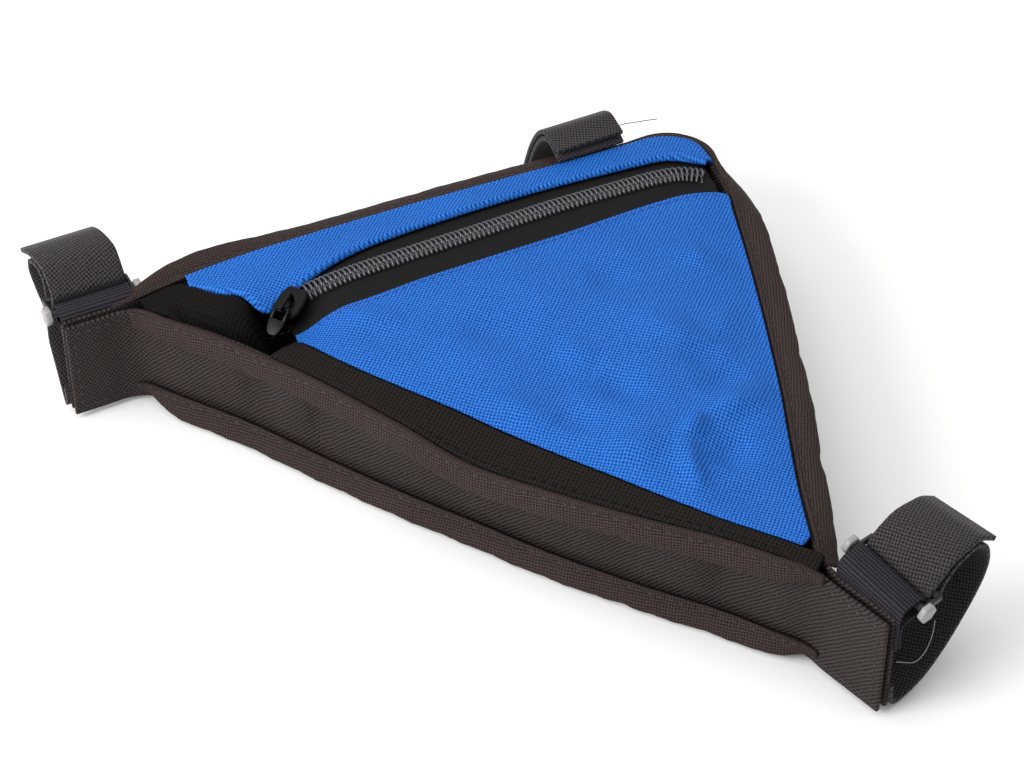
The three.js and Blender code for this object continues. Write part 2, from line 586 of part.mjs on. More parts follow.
// Pull: its eye's end bar turns under the bridge.
const hingeX = bridgeFront - bridgeThick - pullThick / 2 - 0.45;
const hingeZ = sliderHigh / 2 + bridgeOpen * 0.53;
{
  const pull = new THREE.Group();
  pull.position.set(hingeX, 0, hingeZ);
  pull.rotation.y = degToRad(pullDrop);
  slider.add(pull);
  const [bar, eye] = [pullThick / 2, pullEye];
  const [w, e] = [pullWide / 2, pullLong];
  const outline = new THREE.Shape([new V2(-bar, -w), new V2(e * 0.5, -w), new V2(e - 2, -w * 0.85),
    new V2(e, -w * 0.4), new V2(e, w * 0.4), new V2(e - 2, w * 0.85), new V2(e * 0.5, w), new V2(-bar, w)]);
  const hole = w - pullThick;
  outline.holes.push(new THREE.Path([new V2(bar, -hole), new V2(bar, hole), new V2(bar + eye, hole),
    new V2(bar + eye, -hole)]));
  const plate = new THREE.ExtrudeGeometry(outline, { depth: pullThick, bevelEnabled: false });
  plate.translate(0, 0, -pullThick / 2);
  addPiece('zipper_pull', toGeometry(toSolid(plate)), 'metal', pull);
}

// Stations along a curve, closer where it bends.
function paced(curve, mostTurn, mostLong) {
  const steps = 500;
  const picked = [0];
  let [turned, gone, before] = [0, 0, curve.getTangentAt(0)];
  for (let k = 1; k < steps; k += 1) {
    const now = curve.getTangentAt(k / steps);
    turned += before.angleTo(now);
    gone += curve.getLength() / steps;
    before = now;
    if (turned > mostTurn || gone > mostLong) {
      picked.push(k / steps);
      [turned, gone] = [0, 0];
    }
  }
  return [...picked, 1];
}
// How far a band's part at q follows its ring: all near the ring, none at the
// foot, and a little the other way where the free end leaves the loop.
const followFrom = 16;        // mm out from the wall
const followTo = 28;
function following(q) {
  return THREE.MathUtils.smoothstep(q.z, depth * 0.5, depth * 0.85)
    * clamp((followTo - q.y) / (followTo - followFrom), -0.4, 1);
}
// A band of cloth along a curve that lies in the plane of Y and Z.
function bandAlong(curve, wide, thick, mostTurn, mostLong, ring, follow) {
  const at = paced(curve, degToRad(mostTurn), mostLong);
  const slope = Math.tan(degToRad(ring.tilt));
  return formed(at.length - 1, 1, (share, v, w) => {
    const u = at[Math.round(share * (at.length - 1))];
    const [q, t] = [curve.getPointAt(u), curve.getTangentAt(u)];
    const part = follow(q);
    const x = (v - 0.5) * wide;
    return new V3(x + ring.shift * Math.max(part, 0), q.y, q.z - x * slope * part)
      .addScaledVector(new V3(0, t.z, -t.y), (w - 0.5) * thick);
  });
}

// Straps. Each set stands in its own frame: X along the band's width, Y away
// from the bag, Z up, with the origin on the foot of the wall's outer face.
const ringPitch = 2 * barRadius + 3 * clear + keeperThick + bandThick;
const bend = barRadius + clear + bandThick / 2;
const shaped = (rows, reach) => rows.map((r) => new V3(0, r.out * reach, r.up * depth));
// The upper layer of a band, laid over its inner layer from one share to another.
function laidOver(inner, near, far, steps, flip) {
  const first = new THREE.CatmullRomCurve3(inner, false, 'centripetal');
  const away = bandThick + 2 * clear;
  return evenly(near, far, steps).map((s) => {
    const t = first.getTangentAt(s);
    const wider = 1 + 0.5 * Math.exp(-(((s - near) / 0.08) ** 2));
    return first.getPointAt(s).addScaledVector(new V3(0, t.z, -t.y), flip * away * wider);
  });
}
function strapSet(name, place, inner, outer, ring) {
  const set = new THREE.Group();
  set.position.copy(place.at);
  set.rotation.z = place.turn;
  group.add(set);
  const y1 = 3 * clear + keeperThick * 2 + clear + barRadius + ring.slack;
  const y2 = y1 + ringPitch;
  // flip -1: the ring is low on the wall and the band passes above its bar.
  const turnPoints = ring.turns.map((deg) => new V3(0, y2 + bend * Math.cos(degToRad(deg)),
    ring.high + ring.flip * bend * Math.sin(degToRad(deg))));
  const path = new THREE.CatmullRomCurve3([...inner, ...turnPoints, ...outer], false, 'centripetal');
  path.arcLengthDivisions = 900;
  addPiece(`strap_${name}`, bandAlong(path, bandWide, bandThick, 22, 8, ring, following), 'band', set);
  // Keeper: webbing sewn to the wall, folded round the ring's inner bar.
  const k1 = clear + keeperThick / 2;
  const k2 = k1 + keeperThick + clear;
  const round = barRadius + clear + keeperThick / 2;
  const up = (dz) => ring.high + ring.flip * dz;
  const fold = [new V3(0, k1, up(-keeperSewn)), new V3(0, k1, up(-keeperSewn * 0.46)),
    new V3(0, k1 + clear * 0.7, up(-barRadius * 0.6)), new V3(0, k1 + barRadius, up(barRadius * 1.06)),
    new V3(0, y1 - barRadius * 0.94, up(round)),
    ...[80, 40, 0, -45, -90].map((deg) => new V3(0, y1 + round * Math.cos(degToRad(deg)),
      up(round * Math.sin(degToRad(deg))))),
    new V3(0, k2 + keeperThick, up(-round - keeperThick * 1.4)),
    new V3(0, k2, up(-round - keeperSewn * 0.31)), new V3(0, k2, up(-keeperSewn))];
  const keeperPath = new THREE.CatmullRomCurve3(fold, false, 'centripetal');
  keeperPath.arcLengthDivisions = 900;
  addPiece(`keeper_${name}`, bandAlong(keeperPath, keeperWide, keeperThick, 30, 8, ring, () => 1), 'band', set);
  // Ring: two bars joined by an arm at each end, a six-sided knob outside each.
  const armX = Math.max(bandWide, keeperWide) / 2 + 2 * clear;
  const bar = (y) => {
    const g = new THREE.CylinderGeometry(barRadius, barRadius, 2 * armX + ringArm, 8);
    g.rotateZ(Math.PI / 2);
    g.translate(0, y, 0);
    return toSolid(g);
  };
  let solid = bar(y1).add(bar(y2));
  for (const end of [-1, 1]) {
    const link = new THREE.BoxGeometry(ringArm, ringPitch + barRadius, 2 * barRadius * 0.95);
    link.translate(end * (armX + ringArm / 2), (y1 + y2) / 2, 0);
    const knob = new THREE.CylinderGeometry(knobAcross / Math.sqrt(3), knobAcross / Math.sqrt(3), knobLong, 6);
    knob.rotateZ(Math.PI / 2);
    knob.translate(end * (armX + ringArm + knobLong / 2 - clear / 2), y1, 0);
    solid = solid.add(toSolid(link)).add(toSolid(knob));
  }
  const made = addPiece(`ring_${name}`, toGeometry(solid), 'plastic', set);
  made.position.set(ring.shift, 0, ring.high);
  made.rotation.y = degToRad(ring.tilt);
}
const tabMiddle = (end, corner, out) => lift(layered(end.clone().add(corner).divideScalar(2), out, 1), 0);
const offCrease = 1.2;         // the right set stands clear of the crease at its tab's root
const strapPlaces = {
  left: { at: tabMiddle(tabEnd.left, cornerLeft, top.out), turn: 0 },
  right: { at: tabMiddle(tabEnd.right, cornerLow, rightTabOut)
    .addScaledVector(lift(rightTabAlong, 0), offCrease).addScaledVector(lift(rightTabOut, 0), clear),
    turn: Math.atan2(rightTabAlong.y, rightTabAlong.x) },
};
{
  const share = 0.8;
  const p = top.at(share, read(topSeam, 'bow', share) * topSide);
  strapPlaces.top = { at: lift(p, 0), turn: 0 };
}
const overTurn = [0, -45, -90, -135, -180];
const underTurn = [-90, -130, -180, -230, -270];
strapSet('left', strapPlaces.left, shaped(leftLoop, leftReach), shaped(leftOver, leftReach),
  { high: leftRingHigh, slack: leftSlack, shift: leftRingShift, tilt: 0, flip: 1, turns: overTurn });
strapSet('right', strapPlaces.right, shaped(rightLoop, rightReach), shaped(rightOver, rightReach),
  { high: rightRingHigh, slack: rightSlack, shift: 0, tilt: rightRingTilt, flip: 1,
    turns: [...overTurn, -230] });
const topInner = shaped(topLoop, topReach);
const topOuter = laidOver(topInner, 0.90, 0.10, 9, -1);
topOuter.push(topOuter[topOuter.length - 1].clone().add(new V3(0, -3, -0.6)));
strapSet('top', strapPlaces.top, topInner, topOuter,
  { high: topRingHigh, slack: leftSlack, shift: 0, tilt: 0, flip: -1, turns: underTurn });

export default group;
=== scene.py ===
# %% [markdown]
# # A triangular frame bag for a bicycle
# The bag is sewn from woven cloth: a flat back, two side walls (gussets), and a
# front of four panels round a curved zipper. Three bands with plastic rings tie
# it into a bicycle's frame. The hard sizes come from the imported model, which is
# loaded first. Each cell below makes one piece over it, or one finish.

import math

import bmesh
import bpy
import numpy as np
from mathutils import Matrix, Vector


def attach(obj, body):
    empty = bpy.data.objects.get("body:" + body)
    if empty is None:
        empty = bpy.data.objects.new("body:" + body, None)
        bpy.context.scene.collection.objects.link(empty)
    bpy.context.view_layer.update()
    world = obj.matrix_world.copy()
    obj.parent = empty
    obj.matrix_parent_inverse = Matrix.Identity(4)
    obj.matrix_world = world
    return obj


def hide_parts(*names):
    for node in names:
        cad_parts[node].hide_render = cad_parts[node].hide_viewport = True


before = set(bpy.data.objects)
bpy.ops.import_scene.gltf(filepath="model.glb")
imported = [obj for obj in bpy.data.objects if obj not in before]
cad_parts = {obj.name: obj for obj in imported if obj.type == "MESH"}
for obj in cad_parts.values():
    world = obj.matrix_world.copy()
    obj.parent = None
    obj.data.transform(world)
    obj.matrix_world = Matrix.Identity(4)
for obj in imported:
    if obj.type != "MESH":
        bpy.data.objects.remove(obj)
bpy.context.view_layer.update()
MM = 0.001

# %% [markdown]
# ## Camera
# The picture was taken from above the long edge, a little from the left, with a
# long lens from about a metre. The bag lies flat, so its back is on the floor.

# %% Camera
eye = Vector((-338.5, -643.6, 667.5)) * MM
target = Vector((-13.6, -2.0, 20.0)) * MM
view = bpy.data.cameras.new("photo_view")
view.sensor_width = 36.0
view.lens = 105.47
view.clip_start = 0.05
camera = bpy.data.objects.new("photo_view", view)
camera.location = eye
camera.rotation_euler = (target - eye).to_track_quat("-Z", "Y").to_euler()
bpy.context.collection.objects.link(camera)
bpy.context.scene.camera = camera
print("camera distance", round((target - eye).length, 3))

# %% [markdown]
# ## Studio
# A pale sheet under the bag and large soft lights above it. Soft light comes
# from a large source close by, so the lamps are wide areas rather than points.

# %% Floor and lights
def linear(code):
    """Turns an sRGB hex colour into the linear values that a shader takes."""
    parts = [int(code[k:k + 2], 16) / 255 for k in (0, 2, 4)]
    return [p / 12.92 if p <= 0.04045 else ((p + 0.055) / 1.055) ** 2.4 for p in parts] + [1.0]


def add(tree, kind, settings=None, **inputs):
    """Adds a node: settings are its properties, inputs its sockets, by value or link."""
    made = tree.nodes.new("ShaderNode" + kind)
    for key, value in (settings or {}).items():
        setattr(made, key, value)
    for key, value in inputs.items():
        socket = made.inputs[int(key[1:]) if key[0] == "i" and key[1:].isdigit() else key.replace("_", " ")]
        if isinstance(value, bpy.types.NodeSocket):
            tree.links.new(value, socket)
        else:
            socket.default_value = value
    return made


def calc(tree, operation, *values, **settings):
    """Adds a math node and returns its output."""
    inputs = {"i%d" % k: value for k, value in enumerate(values)}
    return add(tree, "Math", {"operation": operation, **settings}, **inputs).outputs[0]


def new_material(name):
    """Makes a material with only its output, and returns it, its tree and that output."""
    made = bpy.data.materials.new(name)
    made.use_nodes = True
    made.node_tree.nodes.clear()
    return made, made.node_tree, made.node_tree.nodes.new("ShaderNodeOutputMaterial")


def close_material(tree, out, specular, **inputs):
    """Ends a material with its shader: inputs are the shader's sockets."""
    shade = add(tree, "BsdfPrincipled", **inputs)
    shade.inputs["Specular IOR Level"].default_value = specular
    tree.links.new(shade.outputs[0], out.inputs[0])


paper, tree, out = new_material("white_paper")
close_material(tree, out, 0.5, Base_Color=linear("f6f6f5"), Roughness=0.9)
bm = bmesh.new()
bmesh.ops.create_grid(bm, x_segments=1, y_segments=1, size=3.0)
bmesh.ops.translate(bm, verts=bm.verts, vec=(0, 0, -0.0001))
floor_mesh = bpy.data.meshes.new("floor")
bm.to_mesh(floor_mesh)
bm.free()
floor = bpy.data.objects.new("floor", floor_mesh)
floor_mesh.materials.append(paper)
bpy.context.collection.objects.link(floor)

world = bpy.data.worlds.new("studio")
world.use_nodes = True
world.node_tree.nodes["Background"].inputs["Color"].default_value = (1.0, 1.0, 1.0, 1.0)
world.node_tree.nodes["Background"].inputs["Strength"].default_value = 0.66
bpy.context.scene.world = world
bpy.context.scene.view_settings.view_transform = "Standard"

LAMPS = (  # name, place, size across, watts
    ("overhead", (-0.15, 0.25, 1.10), 1.2, 5.2),
    ("left", (-0.95, -0.05, 0.62), 0.7, 11.0),
    ("back_right", (0.70, 0.45, 0.80), 0.7, 1.2),
)
for name, place, across, watts in LAMPS:
    lamp = bpy.data.lights.new(name, "AREA")
    lamp.shape = "DISK"
    lamp.size = across
    lamp.energy = watts
    holder = bpy.data.objects.new(name, lamp)
    holder.location = place
    holder.rotation_euler = (-Vector(place)).to_track_quat("-Z", "Y").to_euler()
    bpy.context.collection.objects.link(holder)

# %% [markdown]
# ## Named sizes
# Millimetres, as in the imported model: the two sides that lie on the frame, the
# angle between them, the depth, and the cloths. Every piece below is worked out
# from them, so it lands on the solid that it stands for.

# %% Sizes
TOP_SIDE, SEAT_SIDE, TOP_ANGLE = 212.0, 218.5, math.radians(70.2)
DEPTH, CORNER_RADIUS, CROWN = 40.0, 15.0, 4.5
CLOTH, PANEL_CLOTH, CLEAR = 1.5, 1.2, 0.3
BINDING_WIDE, BINDING_THICK, BACK_BINDING_WIDE = 9.0, 2.4, 8.0
LEFT_TAB, RIGHT_TAB, RIGHT_TAB_TURN, CREASE_RADIUS = 22.0, 25.5, math.radians(34), 3.0
TAPE_THICK, TAPE_TUCK, CHAIN_WIDE, CHAIN_HIGH = 0.9, 3.0, 7.4, 2.2
TAPE_SUNK = PANEL_CLOTH + 3 * CLEAR
TAPE_RISE = 0.5   # soft tapes lie closer under the panels than the stiff solids can
SLIDER_LONG, SLIDER_WIDE, SLIDER_HIGH, SLIDER_PITCH = 12.5, 9.6, 4.4, math.radians(16)
PULL_LONG, PULL_EYE, PULL_WIDE, PULL_THICK, PULL_DROP = 9.5, 3.6, 5.8, 1.2, math.radians(22)
BRIDGE_OPEN, BRIDGE_THICK, BRIDGE_WIDE = 3.0, 1.1, 2.2
BAND_WIDE, BAND_THICK, KEEPER_THICK, KEEPER_WIDE, KEEPER_SEWN = 25.0, 1.8, 1.0, 25.4, 13.0
BAR_RADIUS, KNOB_ACROSS, KNOB_LONG, RING_ARM = 1.6, 5.8, 2.2, 1.4
LEFT_REACH, RIGHT_REACH, TOP_REACH, OFF_CREASE = 28.0, 40.0, 25.0, 1.2


def table(names, *rows):
    """A short table as one array per column."""
    return dict(zip(names.split(), np.array(rows, float).T))


def bell(x):
    """A smooth hump: 1 at zero, and nearly nothing past 2."""
    return np.exp(-(x ** 2))


def runs(points):
    """How far along its points a line has come at each of them."""
    return np.concatenate([[0], np.cumsum(np.linalg.norm(np.diff(points, axis=0), axis=1))])


def paired(first, second):
    """Two arrays of one shape, laid side by side as the last axis."""
    return np.stack(np.broadcast_arrays(first, second), axis=-1)


def with_height(plan, z):
    return np.concatenate([plan, z[..., None]], axis=-1)


def unit(vectors):
    return vectors / np.linalg.norm(vectors, axis=-1, keepdims=True)


LONG_SEAM = table("at front rise back", (0.00, 0.000, 0.000, 0.000), (0.08, -0.002, 0.015, -0.007),
                  (0.18, -0.001, 0.045, -0.009), (0.30, 0.008, 0.035, 0.000), (0.43, 0.022, -0.005, 0.005),
                  (0.53, 0.029, -0.090, 0.004), (0.63, 0.028, -0.065, 0.007), (0.76, 0.020, -0.020, 0.002),
                  (0.88, 0.007, 0.015, -0.008), (1.00, 0.000, 0.000, 0.000))
TOP_SEAM = table("at bow", (0.00, 0.000), (0.16, 0.022), (0.45, 0.021), (0.80, 0.004), (1.00, 0.000))
SEAT_SEAM = table("at bow", (0.00, 0.000), (0.25, 0.014), (0.55, 0.011), (0.90, -0.008), (1.00, 0.000))
ZIP_WINDOW = table("at upper chain lower", (0.190, 0.106, 0.140, 0.166), (0.245, 0.080, 0.102, 0.163),
                   (0.280, 0.072, 0.101, 0.166), (0.340, 0.049, 0.098, 0.165), (0.420, 0.038, 0.097, 0.161),
                   (0.550, 0.034, 0.096, 0.162), (0.680, 0.037, 0.094, 0.162), (0.800, 0.046, 0.097, 0.156),
                   (0.880, 0.054, 0.101, 0.155), (0.930, 0.067, 0.118, 0.164), (0.965, 0.102, 0.158, 0.192))
LOWER_EDGE = table("at in", (0.20, 0.064), (0.28, 0.037), (0.40, 0.030), (0.50, 0.033), (0.65, 0.026),
                   (0.85, 0.020), (1.00, 0.031))
FRONT_DENTS = ((0.205, 0.075, 0.050, -0.16), (0.560, 0.200, 0.070, -0.07), (0.720, 0.130, 0.045, 0.06),
               (0.780, 0.240, 0.060, 0.04), (0.860, 0.080, 0.040, -0.04))
CORNER_FOLD = table("at up", (0.00, 0.00), (0.30, 0.02), (0.60, 0.02), (0.76, -0.03), (0.88, -0.16),
                    (1.00, -0.34))
VALLEY_AT, VALLEY_WIDE, VALLEY_DEEP = 0.20, 0.20, 0.20
FRAME_ROLL = table("at roll", (0.00, -18), (0.07, -12), (0.16, 16), (0.40, 22), (0.445, 50), (0.47, 80),
                   (0.505, 80), (0.54, 58), (0.575, 30), (0.61, 8), (0.90, 12), (1.00, 38))


def read(rows, column, at):
    """Cubic through the rows of a table, read at values of its first column."""
    xs, ys, at = rows["at"], rows[column], np.asarray(at, float)
    k = np.searchsorted(xs[1:-1], at, side="left")
    before, after = np.maximum(k - 1, 0), np.minimum(k + 2, len(xs) - 1)
    width = xs[k + 1] - xs[k]
    x = np.clip((at - xs[k]) / width, 0, 1)
    leave = (ys[k + 1] - ys[before]) / (xs[k + 1] - xs[before]) * width
    arrive = (ys[after] - ys[k]) / (xs[after] - xs[k]) * width
    return ((2 * x**3 - 3 * x**2 + 1) * ys[k] + (x**3 - 2 * x**2 + x) * leave
            + (3 * x**2 - 2 * x**3) * ys[k + 1] + (x**3 - x**2) * arrive)


# %% [markdown]
# ## The plan of the bag
# Seen from above the bag is a triangle with a rounded corner at the saddle.
# A small class holds one side, so a point can be given as a share along it and
# a distance outward. The front's height over the plan is one function, and all
# front pieces read it, so they meet without gaps.

# %% Plan and the height of the front
raw = np.array([(0, 0), (TOP_SIDE, 0),
                (TOP_SIDE - SEAT_SIDE * math.cos(TOP_ANGLE), -SEAT_SIDE * math.sin(TOP_ANGLE))])
corner_left, corner_top, corner_low = raw - raw.mean(axis=0)


class Side:
    """One side of the triangle, with its direction, outward direction and length."""

    def __init__(self, start, end):
        self.start, self.length = start, float(np.linalg.norm(end - start))
        self.along = (end - start) / self.length
        out = np.array([self.along[1], -self.along[0]])
        self.out = out if out @ start > 0 else -out

    def at(self, share, outward):
        share, outward = np.asarray(share, float), np.asarray(outward, float)
        return (self.start + share[..., None] * self.along * self.length + outward[..., None] * self.out)

    def inward(self, p):
        return -(p - self.start) @ self.out

    def share(self, p):
        return (p - self.start) @ self.along / self.length


top, seat, long = Side(corner_left, corner_top), Side(corner_top, corner_low), Side(corner_left, corner_low)
right_along = np.array([[math.cos(RIGHT_TAB_TURN), -math.sin(RIGHT_TAB_TURN)],
                        [math.sin(RIGHT_TAB_TURN), math.cos(RIGHT_TAB_TURN)]]) @ seat.along
right_out = np.array([-right_along[1], right_along[0]])


def front_height(p):
    """Height of the front's outer face over plan points."""
    s = long.share(p)
    ends = np.clip(s, 0, 1)
    d = long.inward(p) + read(LONG_SEAM, "front", ends) * long.length
    z = DEPTH * (1 + read(LONG_SEAM, "rise", ends) * bell(d / (0.12 * long.length)))
    edges = (top.inward(p), seat.inward(p), d)
    swell = [1 - np.exp(-np.maximum(away, 0) / (0.12 * TOP_SIDE)) for away in edges]
    z = z + CROWN * swell[0] * swell[1] * swell[2]
    for along, inward, reach, high in FRONT_DENTS:
        z = z + high * DEPTH * bell((s - along) / reach) * bell((d / long.length - inward) / reach)
    return z


# %% [markdown]
# ## Seam lines
# The gussets follow two lines round the bag, one at the front seam and one at
# the back. A smooth line through a few points is read by its share of length.

# %% Smooth lines and the seams
class Line:
    """A centripetal Catmull-Rom line through points, read at shares of its length."""

    def __init__(self, points, steps=24):
        p = np.array(points, float)
        p = np.vstack([2 * p[0] - p[1], p, 2 * p[-1] - p[-2]])
        laid = []
        for k in range(1, len(p) - 2):
            a, b, c, d = p[k - 1:k + 3]
            t1, t2, t3 = (max(np.linalg.norm(q), 1e-6) ** 0.5 for q in (b - a, c - b, d - c))
            leave = ((b - a) / t1 - (c - a) / (t1 + t2) + (c - b) / t2) * t2
            arrive = ((c - b) / t2 - (d - b) / (t2 + t3) + (d - c) / t3) * t2
            x = np.linspace(0, 1, steps, endpoint=False)[:, None]
            laid.append((2 * x**3 - 3 * x**2 + 1) * b + (x**3 - 2 * x**2 + x) * leave
                        + (3 * x**2 - 2 * x**3) * c + (x**3 - x**2) * arrive)
        self.points = np.vstack(laid + [p[-2:-1]])
        self.run = runs(self.points)
        self.length = float(self.run[-1])

    def at(self, u):
        run = np.clip(u, 0, 1) * self.length
        return np.stack([np.interp(run, self.run, column) for column in self.points.T], axis=-1)

    def tangent(self, u):
        step = 0.4 / self.length
        return unit(self.at(np.minimum(u + step, 1)) - self.at(np.maximum(u - step, 0)))


HALF = CLOTH + CLEAR / 2
tab_left = corner_left - top.along * LEFT_TAB
tab_right = corner_low + right_along * RIGHT_TAB
round_start = CORNER_RADIUS / math.tan(TOP_ANGLE / 2)
round_centre = corner_top - top.along * round_start - top.out * CORNER_RADIUS


def long_line(level):
    """Outer line of the long gusset, tab to tab, at the front or the back seam."""
    def height(s):
        return DEPTH * (1 + float(read(LONG_SEAM, "rise", s))) if level == "front" else 0.0
    near, far = -top.out * HALF, -right_out * HALF
    points = [(*(tab_left + near), height(0)),
              (*(corner_left + near - top.along * LEFT_TAB / 2), height(0)),
              (*(corner_left + near - top.along * CREASE_RADIUS), height(0))]
    for s in 0.02 + 0.96 * np.arange(23) / 22:
        points.append((*long.at(s, read(LONG_SEAM, level, s) * long.length), height(s)))
    points += [(*(corner_low + far + right_along * CREASE_RADIUS), height(1)),
               (*(corner_low + far + right_along * RIGHT_TAB / 2), height(1)),
               (*(tab_right + far), height(1))]
    return Line(points)


def frame_line(z):
    """Outer line of the gusset on the two frame sides, tab to tab, at one height."""
    plan = [tab_left + top.out * HALF, corner_left + top.out * HALF - top.along * LEFT_TAB / 2,
            corner_left + top.out * HALF]
    for s in 0.02 + (1 - round_start / TOP_SIDE - 0.06) * np.arange(1, 10) / 9:
        plan.append(top.at(s, read(TOP_SEAM, "bow", s) * TOP_SIDE))
    first, last = (math.atan2(side.out[1], side.out[0]) for side in (top, seat))
    for a in first + (last - first) * np.arange(6) / 5:
        plan.append(round_centre + CORNER_RADIUS * np.array([math.cos(a), math.sin(a)]))
    begin = round_start / SEAT_SIDE
    for s in begin + 0.04 + (0.96 - begin - 0.04) * np.arange(9) / 8:
        plan.append(seat.at(s, read(SEAT_SEAM, "bow", s) * SEAT_SIDE))
    plan += [corner_low + right_out * HALF + right_along * CREASE_RADIUS,
             corner_low + right_out * HALF + right_along * RIGHT_TAB / 2, tab_right + right_out * HALF]
    return Line([(*p, z) for p in plan])


SEAMS = {"long": {"front": long_line("front"), "back": long_line("back"), "side": -1},
         "frame": {"front": frame_line(DEPTH), "back": frame_line(0.0), "side": 1}}
for seam in SEAMS.values():
    seam["from"] = LEFT_TAB / seam["front"].length
    seam["to"] = 1 - RIGHT_TAB / seam["front"].length
    print("seam", round(seam["front"].length, 1), "mm")


def outward(seam, u):
    """Outward direction in plan of a seam at shares of its length."""
    t = unit(seam["front"].tangent(u)[..., :2])
    return np.stack([-t[..., 1], t[..., 0]], axis=-1) * seam["side"]


def wall_face(seam, u, z):
    """Plan point of a gusset's outer face at a share of the seam and a height."""
    back, front = seam["back"].at(u), seam["front"].at(u)
    return back[..., :2] + (front - back)[..., :2] * (z / front[..., 2])[..., None]


def rim_height(seam, u):
    return front_height(seam["front"].at(u)[..., :2])


# %% [markdown]
# ## From a table of points to a piece
# Every cloth piece here is a rectangle of cloth that was bent. So it starts as
# a flat grid, and each vertex is carried to its place. The UV map keeps the
# flat cloth in millimetres, which lets the weave follow the cloth afterwards.

# %% Helpers for bent grids
def finish_piece(name, bm, material, nodes, body="bag", smooth=True):
    """Turns a bmesh into an object that rides on a body and stands for CAD nodes."""
    mesh = bpy.data.meshes.new(name)
    bm.to_mesh(mesh)
    bm.free()
    mesh.materials.append(material)
    mesh.shade_smooth() if smooth else mesh.shade_flat()
    made = bpy.data.objects.new(name, mesh)
    bpy.context.collection.objects.link(made)
    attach(made, body)
    if nodes:
        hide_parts(*nodes)
    print("piece", name, len(mesh.polygons), "faces")
    return made


def bent_grid(places, cloth_uv, wrap=False, bm=None):
    """A grid whose vertex i, j goes to places[i, j] in mm; wrap joins the last j to the first."""
    bm = bm or bmesh.new()
    rows, columns = places.shape[:2]
    made = bmesh.ops.create_grid(bm, x_segments=rows - 1, y_segments=columns - 1, size=1)["verts"]
    layer = bm.loops.layers.uv.get("cloth") or bm.loops.layers.uv.new("cloth")
    spot = {}
    for vert in made:
        i = round((vert.co.x + 1) / 2 * (rows - 1))
        j = round((vert.co.y + 1) / 2 * (columns - 1))
        vert.co = places[i, j] * MM
        spot[vert] = cloth_uv[i, j]
    for face in {face for vert in made for face in vert.link_faces}:
        for loop in face.loops:
            loop[layer].uv = spot[loop.vert]
    if wrap:
        bmesh.ops.remove_doubles(bm, verts=made, dist=1e-6)
        open_edges = [e for e in bm.edges if e.is_boundary]
        bmesh.ops.holes_fill(bm, edges=open_edges, sides=0)
        bmesh.ops.recalc_face_normals(bm, faces=bm.faces[:])
    return bm


def thicken(piece, thick, offset=-1.0, rounding=0.0):
    """Gives a cloth its thickness, with its cut edges rounded over."""
    wall = piece.modifiers.new("cloth_thickness", "SOLIDIFY")
    wall.thickness, wall.offset, wall.use_even_offset = thick * MM, offset, False
    if rounding:
        soft = piece.modifiers.new("soft_edge", "BEVEL")
        soft.width, soft.segments, soft.limit_method = rounding * MM, 2, "ANGLE"
        soft.angle_limit = math.radians(55)
    return piece


def facing(bm, wanted):
    """Turns all faces round if most of them look away from the wanted direction."""
    looks = sum(f.calc_area() * f.normal.dot(wanted(f.calc_center_median())) for f in bm.faces)
    if looks < 0:
        bmesh.ops.reverse_faces(bm, faces=bm.faces[:])
    return bm


def wander(x, seed, waves=5):
    """A smooth wavering between about -1 and 1, the same on every run."""
    total = np.zeros_like(np.asarray(x, float))
    for k in range(1, waves + 1):
        total += math.sin(seed * 12.9898 * k) * np.sin(x * k * 1.7 + seed * 4.1 * k) / k**0.7
    return total / 1.6


# %% [markdown]
# ## Woven cloth
# The bag is coated polyester in a plain weave: each thread passes over and
# under its neighbours, which leaves a chequer of small raised floats. Threads
# are 0.7 to 0.95 mm apart here. The weave is worked out from the cloth's own UV
# millimetres: two waves along the diagonals make the chequer, and their mix
# drives both the colour and the bump. The colour is painted light: a painted
# highlight on the raised floats and painted shade in the gaps between them.

# %% Cloth finishes
CLOUDS = 0.10   # how far the tone of a cloth drifts over a few centimetres


